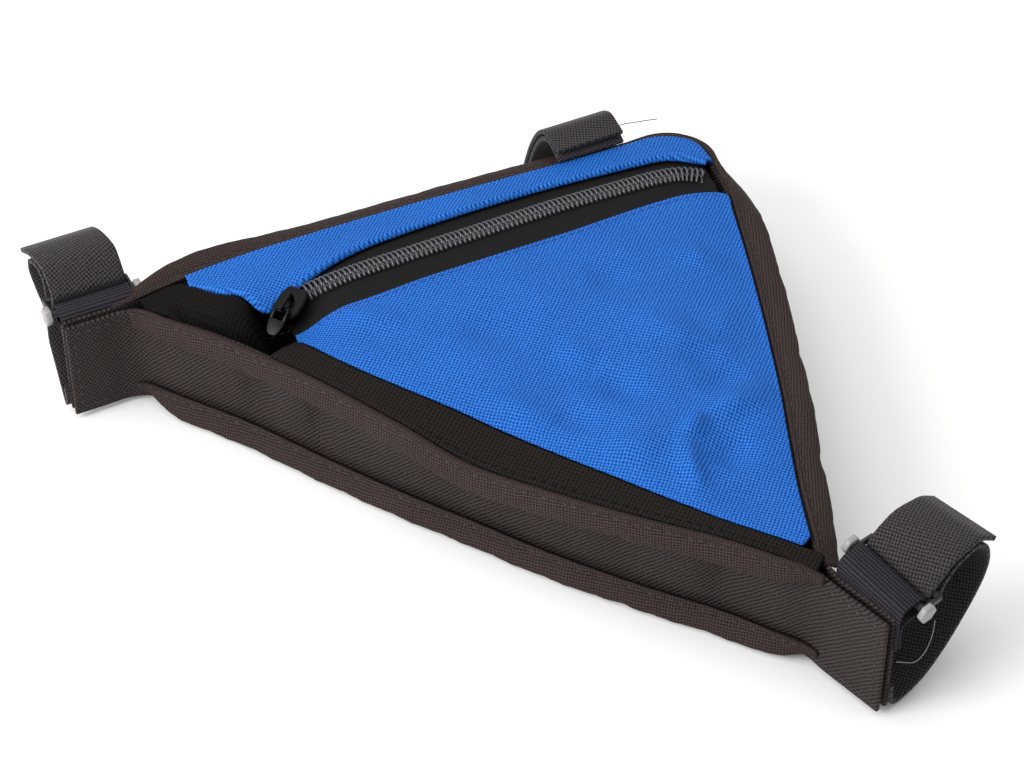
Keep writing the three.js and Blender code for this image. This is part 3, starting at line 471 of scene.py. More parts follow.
def woven(name, lit_float_hex, shaded_gap_hex, pitch, turn=0.0, rough=0.62, bump=0.12, slope=0.6, sheen=0.0, flat=False):
    """Plain woven cloth. pitch is the thread spacing in mm, turn the grain's angle in degrees."""
    made, tree, out = new_material(name)
    if flat:   # a flat CAD node has no UV map: its own coordinates are the cloth's
        start = add(tree, "TexCoord").outputs["Object"]
        scale = 1 / (pitch * MM)
    else:
        start = add(tree, "UVMap", {"uv_map": "cloth"}).outputs[0]
        scale = 1 / pitch
    warp = add(tree, "TexNoise", {"noise_dimensions": "2D"}, Vector=start, Scale=scale * 0.12, Detail=2.0)
    drift = add(tree, "VectorMath", {"operation": "MULTIPLY_ADD"}, i0=warp.outputs["Color"],
                i1=(0.9 / scale,) * 3, i2=start)
    grain = add(tree, "Mapping", Vector=drift.outputs[0], Rotation=(0, 0, math.radians(turn)),
                Scale=(scale * math.pi,) * 3)
    axes = add(tree, "SeparateXYZ", Vector=grain.outputs[0])
    minus = calc(tree, "SUBTRACT", axes.outputs[0], axes.outputs[1])
    plus = calc(tree, "ADD", axes.outputs[0], axes.outputs[1])
    wave_a = calc(tree, "COSINE", minus)
    wave_b = calc(tree, "COSINE", plus)
    part_a = calc(tree, "MULTIPLY_ADD", wave_a, 0.5 * slope, 0.5)
    floats = calc(tree, "MULTIPLY_ADD", wave_b, -0.5 * (1 - slope), part_a)
    fleck = add(tree, "TexNoise", {"noise_dimensions": "2D"}, Vector=start, Scale=scale * 1.1, Detail=1.0)
    cloudy = add(tree, "TexNoise", {"noise_dimensions": "2D"}, Vector=start, Scale=scale * 0.03, Detail=3.0)
    lift = calc(tree, "MULTIPLY_ADD", fleck.outputs["Fac"], 0.7, -0.35)
    level = calc(tree, "ADD", floats, lift, use_clamp=True)
    # painted light: the float colour carries a painted highlight, the gap colour painted shade between the
    # floats
    tone = add(tree, "Mix", {"data_type": "RGBA"}, Factor=level, i6=linear(shaded_gap_hex), i7=linear(lit_float_hex))
    slow_part = calc(tree, "MULTIPLY_ADD", cloudy.outputs["Fac"], 2 * CLOUDS, 1 - CLOUDS)
    color = add(tree, "VectorMath", {"operation": "SCALE"}, i0=tone.outputs[2], Scale=slow_part)
    relief = add(tree, "Bump", Strength=0.9, Distance=bump * MM, Height=level)
    close_material(tree, out, 0.10, Base_Color=color.outputs[0], Roughness=rough, Sheen_Weight=sheen,
                   Sheen_Roughness=0.4, Normal=relief.outputs[0])
    return made


blue_cloth = woven("coated_polyester_blue", "2d7ad8", "032469", 0.80, slope=0.54, bump=0.20)
black_cloth = woven("coated_polyester_black", "221c18", "020202", 0.92, turn=8, rough=0.7, bump=0.18)
gusset_cloth = woven("coated_polyester_brown_black", "423a38", "090606", 0.85, rough=0.6, slope=0.62,
                     bump=0.16)
binding_cloth = woven("bias_cut_binding", "453835", "0b0808", 0.70, turn=38, rough=0.66, slope=0.55,
                      bump=0.16)
# a darker copy of the black cloth: painted shade for the deep valley the corner piece lies in
painted_shade_cloth = woven("coated_polyester_black_painted_shade", "130e0c", "020202", 0.92, turn=8, rough=0.75, bump=0.18)
base_cloth = woven("coated_polyester_base", "39302b", "0b0a0a", 0.95, flat=True)
back_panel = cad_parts["back_panel"]
back_panel.data.materials.clear()
back_panel.data.materials.append(base_cloth)

# %% [markdown]
# ## Gussets
# The side walls are strips of cloth that stand on edge. They hang a little
# hollow between their seams, and the long one has shallow dents where it was
# folded in its packet. At both ends it runs on into the flat sewn tabs.

# %% Gussets
WALL_FOOT = CLOTH + CLEAR
WALL_SINK = 0.03
LONG_DENTS = (  # share along, share up, reach along, reach up, inward mm
    (0.13, 0.45, 0.022, 0.60, -0.8), (0.225, 0.50, 0.016, 0.45, 2.5), (0.27, 0.45, 0.022, 0.60, -1.2),
    (0.31, 0.50, 0.013, 0.55, 2.4), (0.40, 0.45, 0.030, 0.50, -0.9), (0.50, 0.60, 0.030, 0.40, 2.2),
    (0.60, 0.40, 0.030, 0.50, -0.8), (0.69, 0.50, 0.024, 0.50, 1.2), (0.80, 0.55, 0.018, 0.60, 2.2),
    (0.87, 0.45, 0.016, 0.60, -0.8))


def stations(name, count):
    """Shares along a seam, closer together where the top corner is rounded."""
    seam = SEAMS[name]
    if name == "long":
        return np.linspace(0, 1, count)
    arc = CORNER_RADIUS * (math.pi - TOP_ANGLE) / seam["front"].length
    middle = (LEFT_TAB + TOP_SIDE - round_start) / seam["front"].length + arc / 2
    first, last = middle - 0.6 * arc, middle + 0.6 * arc
    return np.concatenate([np.linspace(0, first, count // 2, endpoint=False),
                           np.linspace(first, last, 28, endpoint=False), np.linspace(last, 1, count // 2)])


def wall_points(name, u, v):
    """Points of a gusset's outer face at shares u along and v up, as an array of points."""
    seam = SEAMS[name]
    u, v = np.broadcast_arrays(u, v)
    rim = rim_height(seam, u) - PANEL_CLOTH - CLEAR
    z = WALL_FOOT + v * (rim - WALL_FOOT)
    along = np.clip((u - seam["from"] - 0.02) / (seam["to"] - seam["from"] - 0.04), 0, 1)
    sink = WALL_SINK * DEPTH * np.sin(math.pi * v) * np.sin(math.pi * along)
    if name == "long":
        for at, up, reach, reach_up, deep in LONG_DENTS:
            dent = deep * bell((u - at) / reach) * bell((v - up) / reach_up)
            sink = sink + dent * np.sin(math.pi * v)
    return with_height(wall_face(seam, u, z) - outward(seam, u) * sink[..., None], z)


GUSSETS = (("long", "gusset_long_side", 210, 15), ("frame", "gusset_frame_sides", 230, 11))
for name, node, count, levels in GUSSETS:
    u = stations(name, count)[:, None]
    v = np.linspace(0, 1, levels)[None, :]
    places = wall_points(name, u, v)
    flat = paired(u * SEAMS[name]["front"].length, places[..., 2])
    bm = facing(bent_grid(places, flat), lambda c: Vector((c.x, c.y, 0)).normalized())
    thicken(finish_piece(node + "_cloth", bm, gusset_cloth, [node]), CLOTH, rounding=0.4)

# %% [markdown]
# ## Bound seams
# Where a panel meets a gusset the edges are wrapped in a strip of cloth and
# sewn through. The section is a flat loop with a soft outer fold and a shallow
# groove where the stitches pull it down. It wavers a little along its length.

# %% Bound seams
SECTION = np.array([  # reach and thickness as shares, round the binding
    (0.00, 0.02), (0.20, 0.00), (0.45, -0.02), (0.70, 0.00), (0.88, 0.06), (0.97, 0.22), (1.00, 0.48),
    (0.97, 0.76), (0.88, 0.95), (0.72, 1.03), (0.52, 1.04), (0.36, 0.98), (0.27, 0.84), (0.20, 0.80),
    (0.13, 0.86), (0.06, 0.98), (0.00, 0.96), (0.00, 0.50), (0.00, 0.02)])


PUCKERS = {"long": (0.74,), "frame": (0.765, 0.885)}   # shares where the seam draws a binding in
PUCKER_REACH, PUCKER_DEEP = 0.012, 0.8
TIP_FALL, SLIM_FALL = 24, 45   # how fast a binding widens and thickens from its ends
SLIM_BY, WIDTH_WAVER, THICK_WAVER, FRONT_LAP = 0.75, 0.25, 0.05, 0.4


def between_tabs(seam, u):
    """Shares along a seam as shares of its run from tab to tab."""
    return (u - seam["from"]) / (seam["to"] - seam["from"])


def binding_points(name, u, section, wide, roll, level, tips, seed):
    """Points of a bound seam at shares u, for section rows of reach and thickness."""
    seam = SEAMS[name]
    share = (u - u.min()) / (u.max() - u.min())
    along = between_tabs(seam, u)
    a = np.radians(roll(along))
    full = 1 - (1 - tips[0]) * bell(TIP_FALL * share) - (1 - tips[1]) * bell(TIP_FALL * (1 - share))
    pinch = sum(bell((along - at) / PUCKER_REACH) for at in PUCKERS[name])
    reach = section[:, 0] * (wide * full + WIDTH_WAVER * wander(u * 60, seed) - PUCKER_DEEP * pinch)[:, None]
    slim = 1 - SLIM_BY * (bell(SLIM_FALL * share) + bell(SLIM_FALL * (1 - share)))
    thick = BINDING_THICK * slim * (1 + THICK_WAVER * wander(u * 90, seed + 1))
    through = section[:, 1] * thick[:, None]
    if level == "front":
        root = rim_height(seam, u) - BINDING_THICK * np.cos(a) + FRONT_LAP
        at = wall_face(seam, u, seam["front"].at(u)[:, 2])
    else:
        root = CLEAR + wide * np.sin(a)
        at = wall_face(seam, u, root)
    sideways = CLEAR + reach * np.cos(a)[:, None] + through * np.sin(a)[:, None]
    p = at[:, None, :] + outward(seam, u)[:, None, :] * sideways[..., None]
    return with_height(p, root[:, None] - reach * np.sin(a)[:, None] + through * np.cos(a)[:, None])


def steeper_ends(s):
    return 56 + 30 * bell(18 * s) + 30 * bell(18 * (1 - s))


BINDINGS = {  # seam, start and end inside the tabs, width, roll in degrees, level, width left at the ends
    "binding_front_long": ("long", (-0.004, -0.004), BINDING_WIDE, lambda s: 80 + 0 * s, "front",
                           (0.8, 0.35)),
    "binding_front_frame": ("frame", (-0.012, 0.006), BINDING_WIDE, lambda s: read(FRAME_ROLL, "roll", s),
                            "front", (0.35, 0.80)),
    "binding_back_long": ("long", (-0.004, -0.004), BACK_BINDING_WIDE, steeper_ends, "back", (0.35, 0.35)),
    "binding_back_frame": ("frame", (0.004, 0.006), BACK_BINDING_WIDE, lambda s: 50 + 0 * s, "back",
                           (0.6, 0.5))}
for seed, (node, (name, skip, wide, roll, level, tips)) in enumerate(BINDINGS.items(), 1):
    seam = SEAMS[name]
    u = stations(name, 230)
    u = u[(u > seam["from"] + skip[0]) & (u < seam["to"] - skip[1])]
    places = binding_points(name, u, SECTION, wide, roll, level, tips, seed)
    around = runs(SECTION * (wide, BINDING_THICK))
    flat = paired((u * seam["front"].length)[:, None], around[None, :])
    bm = bent_grid(places, flat, wrap=True)
    finish_piece(node + "_cloth", bm, binding_cloth, [node])

# %% [markdown]
# ## Front panels
# Each panel is a sheet between two edges drawn in plan. Its edges are turned
# under before sewing, so the last millimetre rolls down in a quarter circle.

# %% Edges of the front panels
def flat_line(points):
    """A smooth line in plan, as a function from shares to points."""
    laid = Line([(*p, 0.0) for p in points])
    return lambda u: laid.at(u)[..., :2]


def in_zip(share, column, shift=0.0):
    share = np.asarray(share, float)
    return top.at(share, -read(ZIP_WINDOW, column, share) * TOP_SIDE + shift)


def on_seam(name, share, inset=CLEAR):
    """Plan points on a front seam at shares between its tabs, a little inside."""
    seam = SEAMS[name]
    u = seam["from"] + (seam["to"] - seam["from"]) * np.asarray(share, float)
    return seam["front"].at(u)[..., :2] - outward(seam, u) * np.asarray(inset, float)[..., None]


ruler_shares = np.linspace(0.4, 0.7, 241)
ruler = on_seam("frame", ruler_shares, 0.0)


def zip_end(column, shift, inset):
    """Where a line of the zipper window comes this near to the seam, and the seam's share there."""
    s = 0.85
    while s < 1 and np.linalg.norm(ruler - in_zip(s, column, shift), axis=1).min() > inset:
        s += 0.001
    gaps = np.linalg.norm(ruler - in_zip(s, column, shift), axis=1)
    return s, ruler_shares[gaps.argmin()]


TUCK_INSET = CLOTH + PANEL_CLOTH + CLEAR
BLUNT_TIP = 0.008
FOLD_ROWS = np.array([0.0, 0.07, 0.20, 0.42, 0.75])   # mm in from a folded edge


FOLD_RADIUS, SMALL_SHARE = 0.65, 0.42   # a narrow end keeps its folds to this share of its width


def panel(node, first, second, steps, middle, material, height, extra=None):
    """A front panel between two edge lines, with both edges rolled under."""
    u = np.linspace(0, 1, steps)
    a, b = first(u), second(u)
    width = np.linalg.norm(b - a, axis=1)
    fit = np.minimum(1, SMALL_SHARE * width / FOLD_ROWS[-1])[:, None]
    rows = FOLD_ROWS[None, :] * fit
    inner = np.linspace(0, 1, middle + 2)[1:-1]
    reach = np.concatenate([rows, rows[:, -1:] + (width[:, None] - 2 * rows[:, -1:]) * inner[None, :],
                            width[:, None] - rows[:, ::-1]], axis=1)
    share = reach / width[:, None]
    p = a[:, None, :] + (b - a)[:, None, :] * share[..., None]
    near = np.minimum(reach, width[:, None] - reach)
    radius = FOLD_RADIUS * fit
    drop = radius - np.sqrt(np.maximum(radius**2 - np.maximum(radius - near, 0) ** 2, 0))
    z = height(p) - drop
    if extra is not None:
        z = z + extra(np.broadcast_to(u[:, None], z.shape), share)
    shift = drop * np.where(reach < width[:, None] / 2, 1, -1)   # the weave runs on round the edge
    laid = p + ((a - b) / width[:, None])[:, None, :] * shift[..., None]
    bm = facing(bent_grid(with_height(p, z), laid), lambda c: Vector((0, 0, 1)))
    return thicken(finish_piece(node + "_cloth", bm, material, [node]), PANEL_CLOTH)


# %% [markdown]
# ## Wrinkles of the front
# Cloth that was folded in a packet keeps soft ridges, and the seams pucker it.
# A table gives each ridge by its two ends, its half width and its height.

# %% Front with its wrinkles
RIDGES = (  # from x, y to x, y, half width mm, height mm
    (3, -94, 11, -70, 3.6, 2.6), (11, -72, 21, -63, 3.6, 2.8), (20, -64, 50, -64, 4.2, 2.6),
    (14, -86, 30, -74, 6.0, -2.8), (24, -52, 46, -50, 5.5, -2.4), (-12, -58, 0, -76, 7.0, 2.1),
    (2, -30, 9, -50, 6.0, -2.5), (-36, -22, -20, -48, 7.0, 2.2), (24, -10, 40, -40, 7.0, 2.0),
    (-4, -12, 6, -26, 6.0, 1.8), (52, 12, 66, -4, 5.0, 1.8), (-30, 8, -6, -8, 7.0, -1.9),
    (-62, 34, -40, 14, 5.0, 1.6), (18, 10, 36, 6, 7.0, -1.7), (44, -34, 60, -18, 5.0, 1.7),
    (-20, -40, -8, -54, 5.0, -1.6), (30, -30, 38, -46, 5.0, -1.6))


QUIET_SEAT, QUIET_LONG = 14, 18   # mm from the seams where the ridges have their full height


def wrinkles(p):
    """Height of all the ridges over plan points."""
    z = 0.0
    for x0, y0, x1, y1, half_width, high in RIDGES:
        start, way = np.array([x0, y0]), np.array([x1 - x0, y1 - y0], float)
        size = np.linalg.norm(way)
        t = np.clip((p - start) @ way / size**2, 0, 1)
        away = np.linalg.norm(p - start - t[..., None] * way, axis=-1)
        z = z + high * bell(away / half_width) * np.sin(math.pi * np.clip(t, 0.08, 0.92))
    quiet = np.clip(seat.inward(p) / QUIET_SEAT, 0, 1) * np.clip(long.inward(p) / QUIET_LONG, 0, 1)
    return z * quiet


def worn_height(p):
    return front_height(p) + wrinkles(p)


end_at, end_seam = zip_end("upper", 0.0, CLEAR)
upper_edge = flat_line(on_seam("frame", np.linspace(0.052, end_seam - BLUNT_TIP / 2, 17)))
near_corner = table("at in", (0.097, 0.010), (0.131, 0.041), (0.162, 0.064), (0.182, 0.106))
lower_edge = flat_line(np.vstack([top.at(near_corner["at"], -near_corner["in"] * TOP_SIDE),
                                  in_zip(np.linspace(0.215, end_at - BLUNT_TIP, 15), "upper")]))
panel("strip_upper_blue", upper_edge, lower_edge, 190, 8, blue_cloth, worn_height)

end_at, end_seam = zip_end("lower", 0.0, 2 * CLEAR)
main_low_at = np.linspace(0.226, 0.955, 15)
main_low = flat_line(long.at(main_low_at, -read(LOWER_EDGE, "in", main_low_at) * long.length))
main_high = flat_line(np.vstack([in_zip(np.linspace(0.205, end_at, 15), "lower"),
                                 on_seam("frame", np.linspace(end_seam + 0.02, 0.965, 14))]))
panel("panel_main_blue", main_low, main_high, 200, 110, blue_cloth, worn_height)

strip_at = np.linspace(0.228, 0.985, 19)
strip_out = flat_line(on_seam("long", np.linspace(0.215, 0.990, 19)))
strip_in = flat_line(long.at(strip_at, -read(LOWER_EDGE, "in", strip_at) * long.length + 2 * CLEAR))
panel("strip_lower_black", strip_out, strip_in, 170, 8, black_cloth, worn_height)


def smoothstep(x, low, high):
    t = np.clip((x - low) / (high - low), 0, 1)
    return t * t * (3 - 2 * t)


corner_at = np.linspace(0.02, 0.20, 9)
corner_low_edge = flat_line(on_seam("long", corner_at, CLEAR + 4 * CLOTH * smoothstep(corner_at, 0.13, 0.20)))
beside_strip = table("at in", (0.02, -0.003), (0.088, -0.004), (0.124, 0.047), (0.157, 0.071), (0.176, 0.112),
                     (0.190, 0.135))
corner_high_edge = flat_line(top.at(beside_strip["at"], -beside_strip["in"] * TOP_SIDE))


def corner_shape(u, v):
    """How far the folded corner piece rises over the front at shares along and across it."""
    valley = VALLEY_DEEP * bell((v - VALLEY_AT) / VALLEY_WIDE) * smoothstep(u, 0.15, 0.5)
    return DEPTH * (read(CORNER_FOLD, "up", u) - valley)


# the corner piece wears the darker copy of the black cloth, painted shade for its valley
panel("corner_piece_black", corner_low_edge, corner_high_edge, 60, 30, painted_shade_cloth,
      front_height, extra=corner_shape)

# %% [markdown]
# ## Zipper tapes and coil
# Each half of the zipper is a woven tape with a nylon coil sewn to its edge.
# The tape shows fine ribs along its length. The coil is one bent filament: a
# flattened spring whose turns reach past the middle line and lock into the
# spaces of the other side's. So each side is a tube along a spring-shaped path.

# %% Zipper tapes
def ribbed(name, ridge_hex, shaded_groove_hex, pitch, axis, rough, bump):
    """Cloth with ribs across one of its UV axes, pitch mm apart, in uneven yarn."""
    made, tree, out = new_material(name)
    start = add(tree, "UVMap", {"uv_map": "cloth"}).outputs[0]
    axes = add(tree, "SeparateXYZ", Vector=start)
    across = calc(tree, "MULTIPLY", axes.outputs[axis], 2 * math.pi / pitch)
    yarn = calc(tree, "MULTIPLY", axes.outputs[1 - axis], 2 * math.pi / (0.8 * pitch))
    rib = calc(tree, "SINE", across)
    twist = calc(tree, "SINE", yarn)
    both = calc(tree, "MULTIPLY_ADD", twist, 0.16, 0.5)
    relief = calc(tree, "MULTIPLY_ADD", rib, 0.34, both)
    fleck = add(tree, "TexNoise", {"noise_dimensions": "2D"}, Vector=start, Scale=2.0, Detail=2.0)
    lift = calc(tree, "MULTIPLY_ADD", fleck.outputs["Fac"], 0.6, -0.3)
    level = calc(tree, "ADD", relief, lift, use_clamp=True)
    # painted shade: the groove colour darkens the recesses between the ribs; the ridge colour is the yarn's
    # own tone
    tone = add(tree, "Mix", {"data_type": "RGBA"}, Factor=level, i6=linear(shaded_groove_hex), i7=linear(ridge_hex))
    dent = add(tree, "Bump", Strength=0.9, Distance=bump * MM, Height=level)
    close_material(tree, out, 0.12, Base_Color=tone.outputs[2], Roughness=rough, Normal=dent.outputs[0])
    return made


zip_tape = ribbed("woven_zipper_tape", "1e1c1c", "040404", 0.8, 1, 0.75, 0.12)


def tape_height(p):
    return front_height(p) - TAPE_SUNK + TAPE_RISE


for node, side, column in (("zipper_tape_upper", 1, "upper"), ("zipper_tape_lower", -1, "lower")):
    far_end = zip_end(column, side * TAPE_TUCK, TUCK_INSET)[0]
    near_end = zip_end("chain", side * CLEAR, TUCK_INSET)[0]
    u = np.linspace(0, 1, 150)
    far = flat_line(in_zip(np.linspace(0.205, far_end, 17), column, side * TAPE_TUCK))(u)
    near = flat_line(in_zip(np.linspace(0.205, near_end, 17), "chain", side * CLEAR))(u)
    v = np.linspace(0, 1, 9)
    p = near[:, None, :] + (far - near)[:, None, :] * v[None, :, None]
    flat = paired(runs(near)[:, None], np.linalg.norm(p - near[:, None, :], axis=-1))
    bm = facing(bent_grid(with_height(p, tape_height(p)), flat), lambda c: Vector((0, 0, 1)))
    thicken(finish_piece(node + "_cloth", bm, zip_tape, [node]), TAPE_THICK)

# %% Zipper coil
def tube(path, radius, sides):
    """Rings of points round a path in mm, and their UV millimetres."""
    t = unit(np.gradient(path, axis=0))
    up = np.array([0.0, 0.0, 1.0]) if abs(t[0, 2]) < 0.9 else np.array([1.0, 0.0, 0.0])
    first = np.cross(t[0], up)
    normals = [unit(first)]
    for k in range(1, len(t)):
        normals.append(unit(normals[-1] - t[k] * (normals[-1] @ t[k])))
    n = np.array(normals)
    b = np.cross(t, n)
    a = np.linspace(0, 2 * math.pi, sides + 1)
    places = path[:, None, :] + radius * (np.cos(a)[None, :, None] * n[:, None, :]
                                          + np.sin(a)[None, :, None] * b[:, None, :])
    return places, paired(runs(path)[:, None], a[None, :])


def plain(name, color_hex, rough, grain_mm=0.6, grain=0.15, specular=0.5):
    """A hard finish: one colour with slight grain in its roughness, colour and surface."""
    made, tree, out = new_material(name)
    start = add(tree, "TexCoord").outputs["Object"]
    noise = add(tree, "TexNoise", Vector=start, Scale=1 / (grain_mm * MM), Detail=3.0)
    base = linear(color_hex)
    dark, light = ([min(1, c * k) for c in base[:3]] + [1.0] for k in (1 - grain, 1 + grain))
    tone = add(tree, "Mix", {"data_type": "RGBA"}, Factor=noise.outputs["Fac"], i6=dark, i7=light)
    gloss = add(tree, "MapRange", Value=noise.outputs["Fac"], To_Min=rough * 0.8, To_Max=rough * 1.2)
    relief = add(tree, "Bump", Strength=0.5, Distance=0.02 * MM, Height=noise.outputs["Fac"])
    close_material(tree, out, specular, Base_Color=tone.outputs[2], Roughness=gloss.outputs[0],
                   Normal=relief.outputs[0])
    return made


nylon_coil = plain("nylon_filament", "424247", 0.22, specular=0.9)
CHAIN_START = 0.245
COIL_PITCH, WIRE, TURN_STEPS = 1.75, 0.42, 12
LOOP_MIDDLE, LOOP_REACH = 1.62, 1.90   # mm from the zipper's middle line
chain_end = zip_end("chain", 0.0, TUCK_INSET + CHAIN_WIDE / 4)[0]
chain_line = Line([(*p, 0.0) for p in in_zip(np.linspace(CHAIN_START, chain_end, 19), "chain")])
turns = int(chain_line.length / COIL_PITCH)
coil_mesh = bmesh.new()
for side in (-1, 1):
    turn = np.arange(turns * TURN_STEPS) / TURN_STEPS
    a = 2 * math.pi * turn
    # the filament leans forward on top and comes back below
    run = (turn + 0.5 * (side > 0) + 0.22 * np.sin(a) * side) * COIL_PITCH
    run = np.clip(run, 0, chain_line.length)
    u = run / chain_line.length
    ahead = chain_line.tangent(u)[:, :2]
    across = side * (LOOP_MIDDLE + LOOP_REACH * np.cos(a))
    q = chain_line.at(u)[:, :2] + np.stack([-ahead[:, 1], ahead[:, 0]], axis=-1) * across[:, None]
    up = tape_height(q) + 2.5 * CLEAR + 0.15 + (CHAIN_HIGH / 2 - WIRE) * (1 + np.sin(a))
    bent_grid(*tube(with_height(q, up), WIRE, 5), bm=coil_mesh)
bmesh.ops.remove_doubles(coil_mesh, verts=coil_mesh.verts[:], dist=1e-6)
bmesh.ops.holes_fill(coil_mesh, edges=[e for e in coil_mesh.edges if e.is_boundary], sides=0)
bmesh.ops.recalc_face_normals(coil_mesh, faces=coil_mesh.faces[:])
finish_piece("zipper_coil_turns", coil_mesh, nylon_coil, ["zipper_coil"])
print("coil turns", turns)

# %% [markdown]
# ## Slider and pull
# The slider is a die-cast shell painted black: two plates joined by a wedge,
# with a bridge on top that holds the pull. Blocks with bevelled edges give its
# cast look. It is built flat at the origin and then set on the chain.

# %% Slider and pull
black_paint = plain("black_enamel_on_zinc", "020202", 0.34, grain_mm=1.5, specular=0.14)
chain_foot, nose_way = in_zip(CHAIN_START, "chain"), in_zip(0.19, "chain") - in_zip(CHAIN_START, "chain")
nose_way = nose_way / np.linalg.norm(nose_way)
slider_spot = chain_foot + nose_way * (3 * CLEAR + SLIDER_LONG / 2)
slider_z = float(front_height(slider_spot)) + SLIDER_HIGH / 2 + 1.0
slider_place = (Matrix.Translation(Vector((*slider_spot, slider_z)) * MM)
                @ Matrix.Rotation(math.atan2(nose_way[1], nose_way[0]), 4, "Z")
                @ Matrix.Rotation(SLIDER_PITCH, 4, "Y"))


def soften(bm, edges, width, segments):
    """Rounds edges over by a width in mm."""
    bmesh.ops.bevel(bm, geom=edges, offset=width * MM, offset_type="OFFSET", segments=segments, profile=0.5,
                    affect="EDGES", material=-1, clamp_overlap=True)


def block(bm, size, centre, bevel, place=Matrix()):
    """A bevelled block in mm, set in its place."""
    made = bmesh.ops.create_cube(bm, size=1)["verts"]
    for vert in made:
        vert.co = place @ (Vector(vert.co[k] * size[k] + centre[k] for k in range(3)) * MM)
    soften(bm, list({edge for vert in made for edge in vert.link_edges}), bevel, 3)


def outline_plate(bm, points, thick, bevel):
    """A plate cut to an outline in mm, centred on z = 0, with its edges rounded."""
    verts = [bm.verts.new(Vector((x, y, -thick / 2)) * MM) for x, y in points]
    face = bm.faces.new(verts)
    raised = bmesh.ops.extrude_face_region(bm, geom=[face])["geom"]
    top_verts = [g for g in raised if isinstance(g, bmesh.types.BMVert)]
    bmesh.ops.translate(bm, verts=top_verts, vec=(0, 0, thick * MM))
    bmesh.ops.recalc_face_normals(bm, faces=bm.faces[:])
    rim = [e for e in bm.edges if len(e.link_faces) == 2 and e.calc_face_angle(0) > 0.6]
    soften(bm, rim, bevel, 3)


hl, hw = SLIDER_LONG / 2, SLIDER_WIDE / 2
PLATE_HALF = ((-1, 0.72), (-0.6, 0.92), (-0.1, 1), (0.5, 1), (0.85, 0.78), (1, 0.4))   # shares of the halves
plate_outline = [(x * hl, -y * hw) for x, y in PLATE_HALF] + [(x * hl, y * hw) for x, y in PLATE_HALF[::-1]]
slider = bmesh.new()
outline_plate(slider, plate_outline, SLIDER_HIGH - 0.2, 0.9)
bridge_long, bridge_front = SLIDER_LONG * 0.62, hl - 0.2
bridge_back = bridge_front - bridge_long
deck = SLIDER_HIGH / 2
for x in (bridge_back + BRIDGE_THICK / 2, bridge_front - BRIDGE_THICK / 2):
    block(slider, (BRIDGE_THICK, BRIDGE_WIDE, BRIDGE_OPEN + 0.6), (x, 0, deck + BRIDGE_OPEN / 2 - 0.2), 0.35)
bridge_top = ((bridge_back + bridge_front) / 2, 0, deck + BRIDGE_OPEN + BRIDGE_THICK / 2 - 0.1)
block(slider, (bridge_long - 0.6, BRIDGE_WIDE, BRIDGE_THICK), bridge_top, 0.45)
bmesh.ops.transform(slider, matrix=slider_place, verts=slider.verts)
finish_piece("slider_casting", slider, black_paint, ["slider_body"])

hinge_x = bridge_front - BRIDGE_THICK - PULL_THICK / 2 - 0.45
hinge_z = deck + BRIDGE_OPEN * 0.53
pull_place = (slider_place @ Matrix.Translation(Vector((hinge_x, 0, hinge_z)) * MM)
              @ Matrix.Rotation(PULL_DROP, 4, "Y"))
pull = bmesh.new()
pw = PULL_WIDE / 2
eye_rim, eye_end = PULL_THICK, PULL_THICK / 2 + PULL_EYE
block(pull, (PULL_THICK, PULL_WIDE, PULL_THICK), (0, 0, 0), 0.35)
for y in (-pw + eye_rim / 2, pw - eye_rim / 2):
    block(pull, (eye_end + 0.6, eye_rim, PULL_THICK), (eye_end / 2 - 0.3, y, 0), 0.3)
tab_half = [(eye_end - 0.3, pw), (PULL_LONG * 0.55, pw), (PULL_LONG - 2, pw * 0.85),
            (PULL_LONG - 0.5, pw * 0.6), (PULL_LONG, pw * 0.25)]
outline_plate(pull, [(x, -y) for x, y in tab_half] + tab_half[::-1], PULL_THICK, 0.3)
bmesh.ops.transform(pull, matrix=pull_place, verts=pull.verts)
finish_piece("zipper_pull_tab", pull, black_paint, ["zipper_pull"], body="pull")

# %% [markdown]
# ## Bands, webbing and rings
# Each strap is a 25 mm hook-and-loop band in a loop: sewn at the tab, out and
# up, round the far bar of a plastic ring and back over itself. The near bar
# sits in a fold of ribbed webbing. All three sets share one builder.

# %% Strap sets
hook_band = woven("hook_and_loop_band", "484345", "080708", 0.75, turn=22, rough=0.8, bump=0.2, sheen=0.15,
                  slope=0.5)
webbing = ribbed("ribbed_webbing", "37333a", "08070a", 1.15, 1, 0.7, 0.25)
grey_plastic = plain("moulded_acetal_grey", "8d8a8b", 0.34, grain_mm=2.0, grain=0.06)
dark_plastic = plain("moulded_acetal_black", "1b1b1d", 0.45, grain_mm=2.0, grain=0.06)

LEFT_LOOP = ((0.051, 0.26), (0.051, 0.13), (0.086, 0.080), (0.143, 0.145), (0.307, 0.370), (0.461, 0.558),
             (0.646, 0.765), (0.818, 0.912), (0.936, 1.058), (0.907, 1.162), (0.768, 1.182), (0.629, 1.125))
RIGHT_LOOP = ((0.036, 0.26), (0.036, 0.12), (0.090, 0.052), (0.345, 0.105), (0.532, 0.243), (0.720, 0.460),
              (0.928, 0.775), (0.968, 0.952), (0.925, 1.105), (0.825, 1.172), (0.712, 1.170), (0.600, 1.140),
              (0.515, 1.080))
LEFT_OVER = ((0.354, 1.005), (0.336, 1.058), (0.400, 1.115), (0.500, 1.185), (0.614, 1.235),
             (0.768, 1.250), (0.964, 1.230), (1.143, 1.160))
RIGHT_OVER = ((0.410, 1.125), (0.480, 1.172), (0.565, 1.218), (0.650, 1.235), (0.750, 1.238),
              (0.850, 1.232), (1.020, 1.130))
TOP_LOOP = ((0.000, 1.050), (0.140, 1.090), (0.320, 1.130), (0.510, 1.080), (0.700, 0.920), (0.860, 0.700),
            (0.970, 0.460), (0.920, 0.340), (0.760, 0.305))
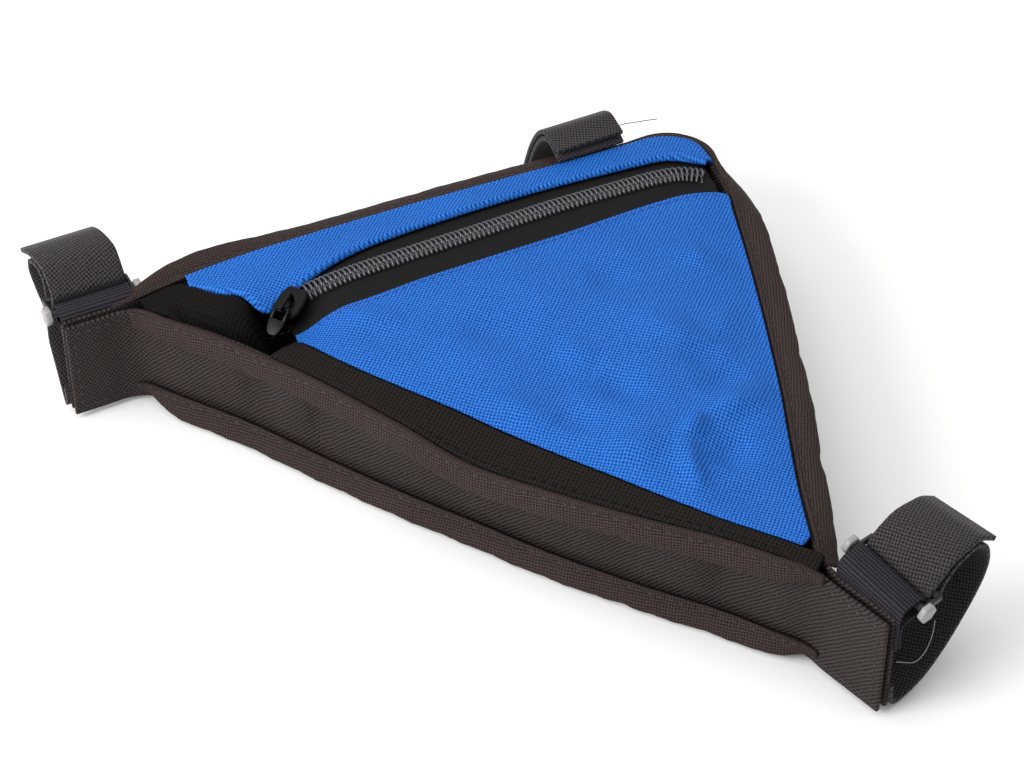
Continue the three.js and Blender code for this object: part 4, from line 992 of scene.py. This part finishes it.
RING_PITCH = 2 * BAR_RADIUS + 3 * CLEAR + KEEPER_THICK + BAND_THICK
BEND = BAR_RADIUS + CLEAR + BAND_THICK / 2


def ring_form(high, slack, shift, tilt, flip, *turns):
    """One ring's place: height and slack in mm, tilt in degrees; flip -1 has the band pass above its bar."""
    return {"high": high, "slack": slack, "shift": shift, "tilt": math.radians(tilt), "flip": flip,
            "turns": turns}


RINGS = {"left": ring_form(38.0, 1.7, 2.0, 0.0, 1, 0, -45, -90, -135, -180),
         "right": ring_form(41.0, 4.2, 0.0, 8.5, 1, 0, -45, -90, -135, -180, -230),
         "top": ring_form(11.0, 1.7, 0.0, 0.0, -1, -90, -130, -180, -230, -270)}


LOOP_OUT, LOOP_FADE = 28, 12   # mm from the foot where a band is free of its ring


def following(q):
    """How far a band's part at q goes along with its ring: all near it, none at the foot."""
    return smoothstep(q[:, 2], DEPTH * 0.5, DEPTH * 0.85) * np.clip((LOOP_OUT - q[:, 1]) / LOOP_FADE, -0.4, 1)


def band_grid(path, wide, columns, place, steps, ring, follow):
    """Points of a flat band along a path in the plane of Y and Z, set in its place."""
    u = np.linspace(0, 1, steps)
    q, t = path.at(u), path.tangent(u)
    x = np.linspace(-wide / 2, wide / 2, columns)[None, :]
    part = follow(q)[:, None]
    p = np.stack([x + ring["shift"] * np.maximum(part, 0), q[:, 1:2] + 0 * x,
                  q[:, 2:] - x * math.tan(ring["tilt"]) * part], axis=-1)
    angle, origin = place
    c, s = math.cos(angle), math.sin(angle)
    turned = np.stack([p[..., 0] * c - p[..., 1] * s, p[..., 0] * s + p[..., 1] * c, p[..., 2]], axis=-1)
    return turned + np.array([*origin, 0.0]), paired(x, (u * path.length)[:, None])


def rod(bm, place, start, end, radius, sides=20, bevel=0.25):
    """A round or six-sided bar between two points along X, with softened ends."""
    middle = Matrix.Translation(Vector([(a + b) / 2 for a, b in zip(start, end)]) * MM)
    lying = place @ middle @ Matrix.Rotation(math.pi / 2, 4, "Y")
    made = bmesh.ops.create_cone(bm, cap_ends=True, segments=sides, radius1=radius * MM, radius2=radius * MM,
                                 depth=(end[0] - start[0]) * MM, matrix=lying)["verts"]
    sharp = 1.2 if sides > 8 else 0.5
    soften(bm, [e for e in {e for v in made for e in v.link_edges} if e.calc_face_angle(0) > sharp], bevel, 2)


def laid_over(inner, near, far, steps, flip):
    """The upper layer of a band, laid over its inner layer from one share to another."""
    first = Line(inner)
    shares = np.linspace(near, far, steps + 1)
    q, t = first.at(shares), first.tangent(shares)
    normal = np.stack([0 * shares, t[:, 2], -t[:, 1]], axis=-1) * flip
    spread = (BAND_THICK + 2 * CLEAR) * (1 + 0.5 * bell((shares - near) / 0.08))
    return [tuple(row) for row in q + normal * spread[:, None]]


def shaped(rows, reach):
    return [(0.0, out * reach, up * DEPTH) for out, up in rows]


def strap_set(name, place, inner, outer):
    """Band, webbing and ring of one strap."""
    form = RINGS[name]
    high, flip = form["high"], form["flip"]
    y1 = 2 * KEEPER_THICK + 4 * CLEAR + BAR_RADIUS + form["slack"]
    y2 = y1 + RING_PITCH
    turns = [(0.0, y2 + BEND * math.cos(a), high + flip * BEND * math.sin(a))
             for a in np.radians(form["turns"])]
    path = Line([*inner, *turns, *outer])
    bm = bent_grid(*band_grid(path, BAND_WIDE, 13, place, 260, form, following))
    band = finish_piece("strap_%s_band" % name, bm, hook_band, ["strap_" + name])
    thicken(band, BAND_THICK - 0.2, offset=0.0, rounding=0.35)

    def up(dz):
        return high + flip * dz
    k1 = CLEAR + KEEPER_THICK / 2
    k2 = k1 + KEEPER_THICK + CLEAR
    wrap = BAR_RADIUS + CLEAR + KEEPER_THICK / 2
    fold = [(0, k1, up(-KEEPER_SEWN)), (0, k1, up(-KEEPER_SEWN * 0.46)),
            (0, k1 + CLEAR * 0.7, up(-BAR_RADIUS * 0.6)), (0, k1 + BAR_RADIUS, up(BAR_RADIUS * 1.06)),
            (0, y1 - BAR_RADIUS * 0.94, up(wrap))]
    fold += [(0, y1 + wrap * math.cos(a), up(wrap * math.sin(a))) for a in np.radians([80, 40, 0, -45, -90])]
    fold += [(0, k2 + KEEPER_THICK, up(-wrap - KEEPER_THICK * 1.4)), (0, k2, up(-wrap - KEEPER_SEWN * 0.31)),
             (0, k2, up(-KEEPER_SEWN))]
    bm = bent_grid(*band_grid(Line(fold), KEEPER_WIDE, 5, place, 90, form, lambda q: np.ones(len(q))))
    keeper = finish_piece("keeper_%s_webbing" % name, bm, webbing, ["keeper_" + name])
    thicken(keeper, KEEPER_THICK, offset=0.0, rounding=0.25)

    angle, origin = place
    foot = Matrix.Translation(Vector((*origin, 0)) * MM) @ Matrix.Rotation(angle, 4, "Z")
    stand = (foot @ Matrix.Translation(Vector((form["shift"], 0, high)) * MM)
             @ Matrix.Rotation(form["tilt"], 4, "Y"))
    arm_x = max(BAND_WIDE, KEEPER_WIDE) / 2 + 2 * CLEAR
    frame_part, heads = bmesh.new(), bmesh.new()
    for y in (y1, y2):
        reach = arm_x + RING_ARM / 2
        rod(frame_part, stand, (-reach, y, 0), (reach, y, 0), BAR_RADIUS * 0.85)
    for end in (-1, 1):
        block(frame_part, (RING_ARM, RING_PITCH + BAR_RADIUS, 2 * BAR_RADIUS * 0.8),
              (end * (arm_x + RING_ARM / 2), (y1 + y2) / 2, 0), 0.5, place=stand)
        inner_face = arm_x + RING_ARM - CLEAR / 2
        near, far = sorted((end * inner_face, end * (inner_face + KNOB_LONG)))
        rod(heads, stand, (near, y1, 0), (far, y1, 0), KNOB_ACROSS / math.sqrt(3), sides=6, bevel=0.4)
    finish_piece("ring_%s_link" % name, frame_part, dark_plastic, ["ring_" + name])
    finish_piece("ring_%s_heads" % name, heads, grey_plastic, [])


left_foot = (tab_left + corner_left) / 2 + top.out * HALF
right_foot = (tab_right + corner_low) / 2 + right_out * (HALF + CLEAR) + right_along * OFF_CREASE
top_foot = top.at(0.8, float(read(TOP_SEAM, "bow", 0.8)) * TOP_SIDE)
strap_set("left", (0.0, left_foot), shaped(LEFT_LOOP, LEFT_REACH), shaped(LEFT_OVER, LEFT_REACH))
strap_set("right", (math.atan2(right_along[1], right_along[0]), right_foot),
          shaped(RIGHT_LOOP, RIGHT_REACH), shaped(RIGHT_OVER, RIGHT_REACH))
top_inner = shaped(TOP_LOOP, TOP_REACH)
top_outer = laid_over(top_inner, 0.90, 0.10, 9, -1)
top_outer.append(tuple(np.array(top_outer[-1]) + (0, -3, -0.6)))
strap_set("top", (0.0, top_foot), top_inner, top_outer)

# %% [markdown]
# ## Stitches
# Lockstitch in a bag is about 3 mm long. Each stitch is a small flattened
# sphere pressed into the cloth, and each row is one mesh of them.

# %% Stitch rows
thread_black = plain("polyester_thread_black", "1d1918", 0.55, grain_mm=0.3)
thread_dark = plain("polyester_thread_dark", "060505", 0.6, grain_mm=0.3, specular=0.1)
thread_pale = plain("polyester_thread_pale", "8a8684", 0.5, grain_mm=0.3)
thread_blue = plain("polyester_thread_blue", "0d2f86", 0.55, grain_mm=0.3)


def stitches(name, rows, material, long_mm=2.5, pitch=3.4, thick=0.26):
    """Rows of stitches. Each row is its points on the cloth and the outward directions there."""
    bm = bmesh.new()
    count = 0
    for points, normals in rows:
        run = runs(points)
        for at in np.arange(pitch / 2, run[-1] - pitch / 2, pitch):
            half = long_mm / 2
            ends = [np.array([np.interp(at + d, run, c) for c in points.T]) for d in (-half, half)]
            n = np.array([np.interp(at, run, c) for c in normals.T])
            way = unit(ends[1] - ends[0])
            n = unit(n - way * (n @ way))
            side = np.cross(n, way)
            middle = (ends[0] + ends[1]) / 2
            rot = Matrix([(*row, 0) for row in np.array([way, side, n]).T.tolist()] + [(0, 0, 0, 1)])
            size = Matrix.Diagonal((half * MM, thick * 1.25 * MM, thick * MM, 1))
            pose = Matrix.Translation(Vector(middle) * MM) @ rot @ size @ Matrix.Rotation(math.pi / 2, 4, "Y")
            bmesh.ops.create_uvsphere(bm, u_segments=6, v_segments=5, radius=1.0, matrix=pose)
            count += 1
    finish_piece(name, bm, material, [])
    print(name, count, "stitches")


def front_row(plan):
    """A row of points on the front and the directions out of it."""
    z = worn_height(plan)
    step = 0.5
    slope = [(worn_height(plan + np.array(d) * step) - z) / step for d in ((1, 0), (0, 1))]
    return with_height(plan, z), unit(np.stack([-slope[0], -slope[1], np.ones_like(z)], axis=-1))


s = np.linspace(0.235, end_at - 0.012, 200)
stitches("zipper_seam_stitches", [front_row(in_zip(s, "lower", -1.9))], thread_blue, thick=0.2)
strip_row = front_row(on_seam("long", np.linspace(0.44, 0.95, 300), 2.2))
stitches("strip_seam_stitches", [strip_row], thread_dark, long_mm=2.2)


def wall_row(name, u, v):
    """A row of points on a gusset's face and the directions out of it."""
    u, v = np.broadcast_arrays(u, v)
    return wall_points(name, u, v), with_height(outward(SEAMS[name], u), np.zeros(len(u)))


LONG = SEAMS["long"]["front"].length
ROW_INSET, ROW_LOW, ROW_HIGH, ROW_COUNT = 2.6, 0.075, 0.925, 40
TAB_ROWS = (  # share of the seam at a distance from a tab's end, then the reach of the high and low rows
    (lambda mm: mm / LONG, LEFT_TAB, LEFT_TAB - 2),
    (lambda mm: 1 - mm / LONG, RIGHT_TAB - 2, RIGHT_TAB - 2))
tab_rows = []
for from_end, high_reach, low_reach in TAB_ROWS:
    upright = np.linspace(0.09, 0.92, ROW_COUNT)
    tab_rows.append(wall_row("long", from_end(np.full(ROW_COUNT, ROW_INSET)), upright))
    for level, reach in ((ROW_HIGH, high_reach), (ROW_LOW, low_reach)):
        tab_rows.append(wall_row("long", from_end(np.linspace(ROW_INSET, reach, ROW_COUNT)), level))
stitches("tab_stitches", tab_rows, thread_black)

groove = np.array([(0.20, 0.82)])
binding_rows = []
for seed, (node, (name, skip, wide, roll, level, tips)) in enumerate(BINDINGS.items(), 1):
    seam = SEAMS[name]
    u = np.linspace(seam["from"] + skip[0], seam["to"] - skip[1], 500)
    points = binding_points(name, u, groove, wide, roll, level, tips, seed)[:, 0, :]
    a = np.radians(roll(between_tabs(seam, u)))
    binding_rows.append((points, with_height(outward(seam, u) * np.sin(a)[:, None], np.cos(a))))
stitches("binding_stitches", binding_rows, thread_black)

# %% [markdown]
# ## Loose threads
# Cut ends of the sewing thread stick out at the top band and hang beside the
# right one. Each is a thin tube through a few points that curve a little.

# %% Loose threads
THREADS = (  # name, material, radius mm, points
    ("loose_thread_long", thread_dark, 0.16,
     ((63.0, 73.6, 43.4), (65.5, 74.4, 45.2), (73.5, 72.8, 45.7), (80.0, 72.2, 45.0))),
    ("loose_thread_short", thread_dark, 0.16, ((63.4, 70.9, 42.6), (64.8, 71.4, 43.6), (66.2, 71.8, 44.0))),
    ("loose_thread_pale", thread_pale, 0.12,
     ((31.5, -161.5, 20.5), (36.9, -163.3, 19.6), (40.2, -163.1, 22.0), (43.2, -161.6, 26.0),
      (44.6, -160.3, 31.0))))
for name, finish, radius, points in THREADS:
    bend = Line(points).at(np.linspace(0, 1, 24))
    bm = bent_grid(*tube(bend, radius, 6), wrap=True)
    finish_piece(name, bm, finish, [])
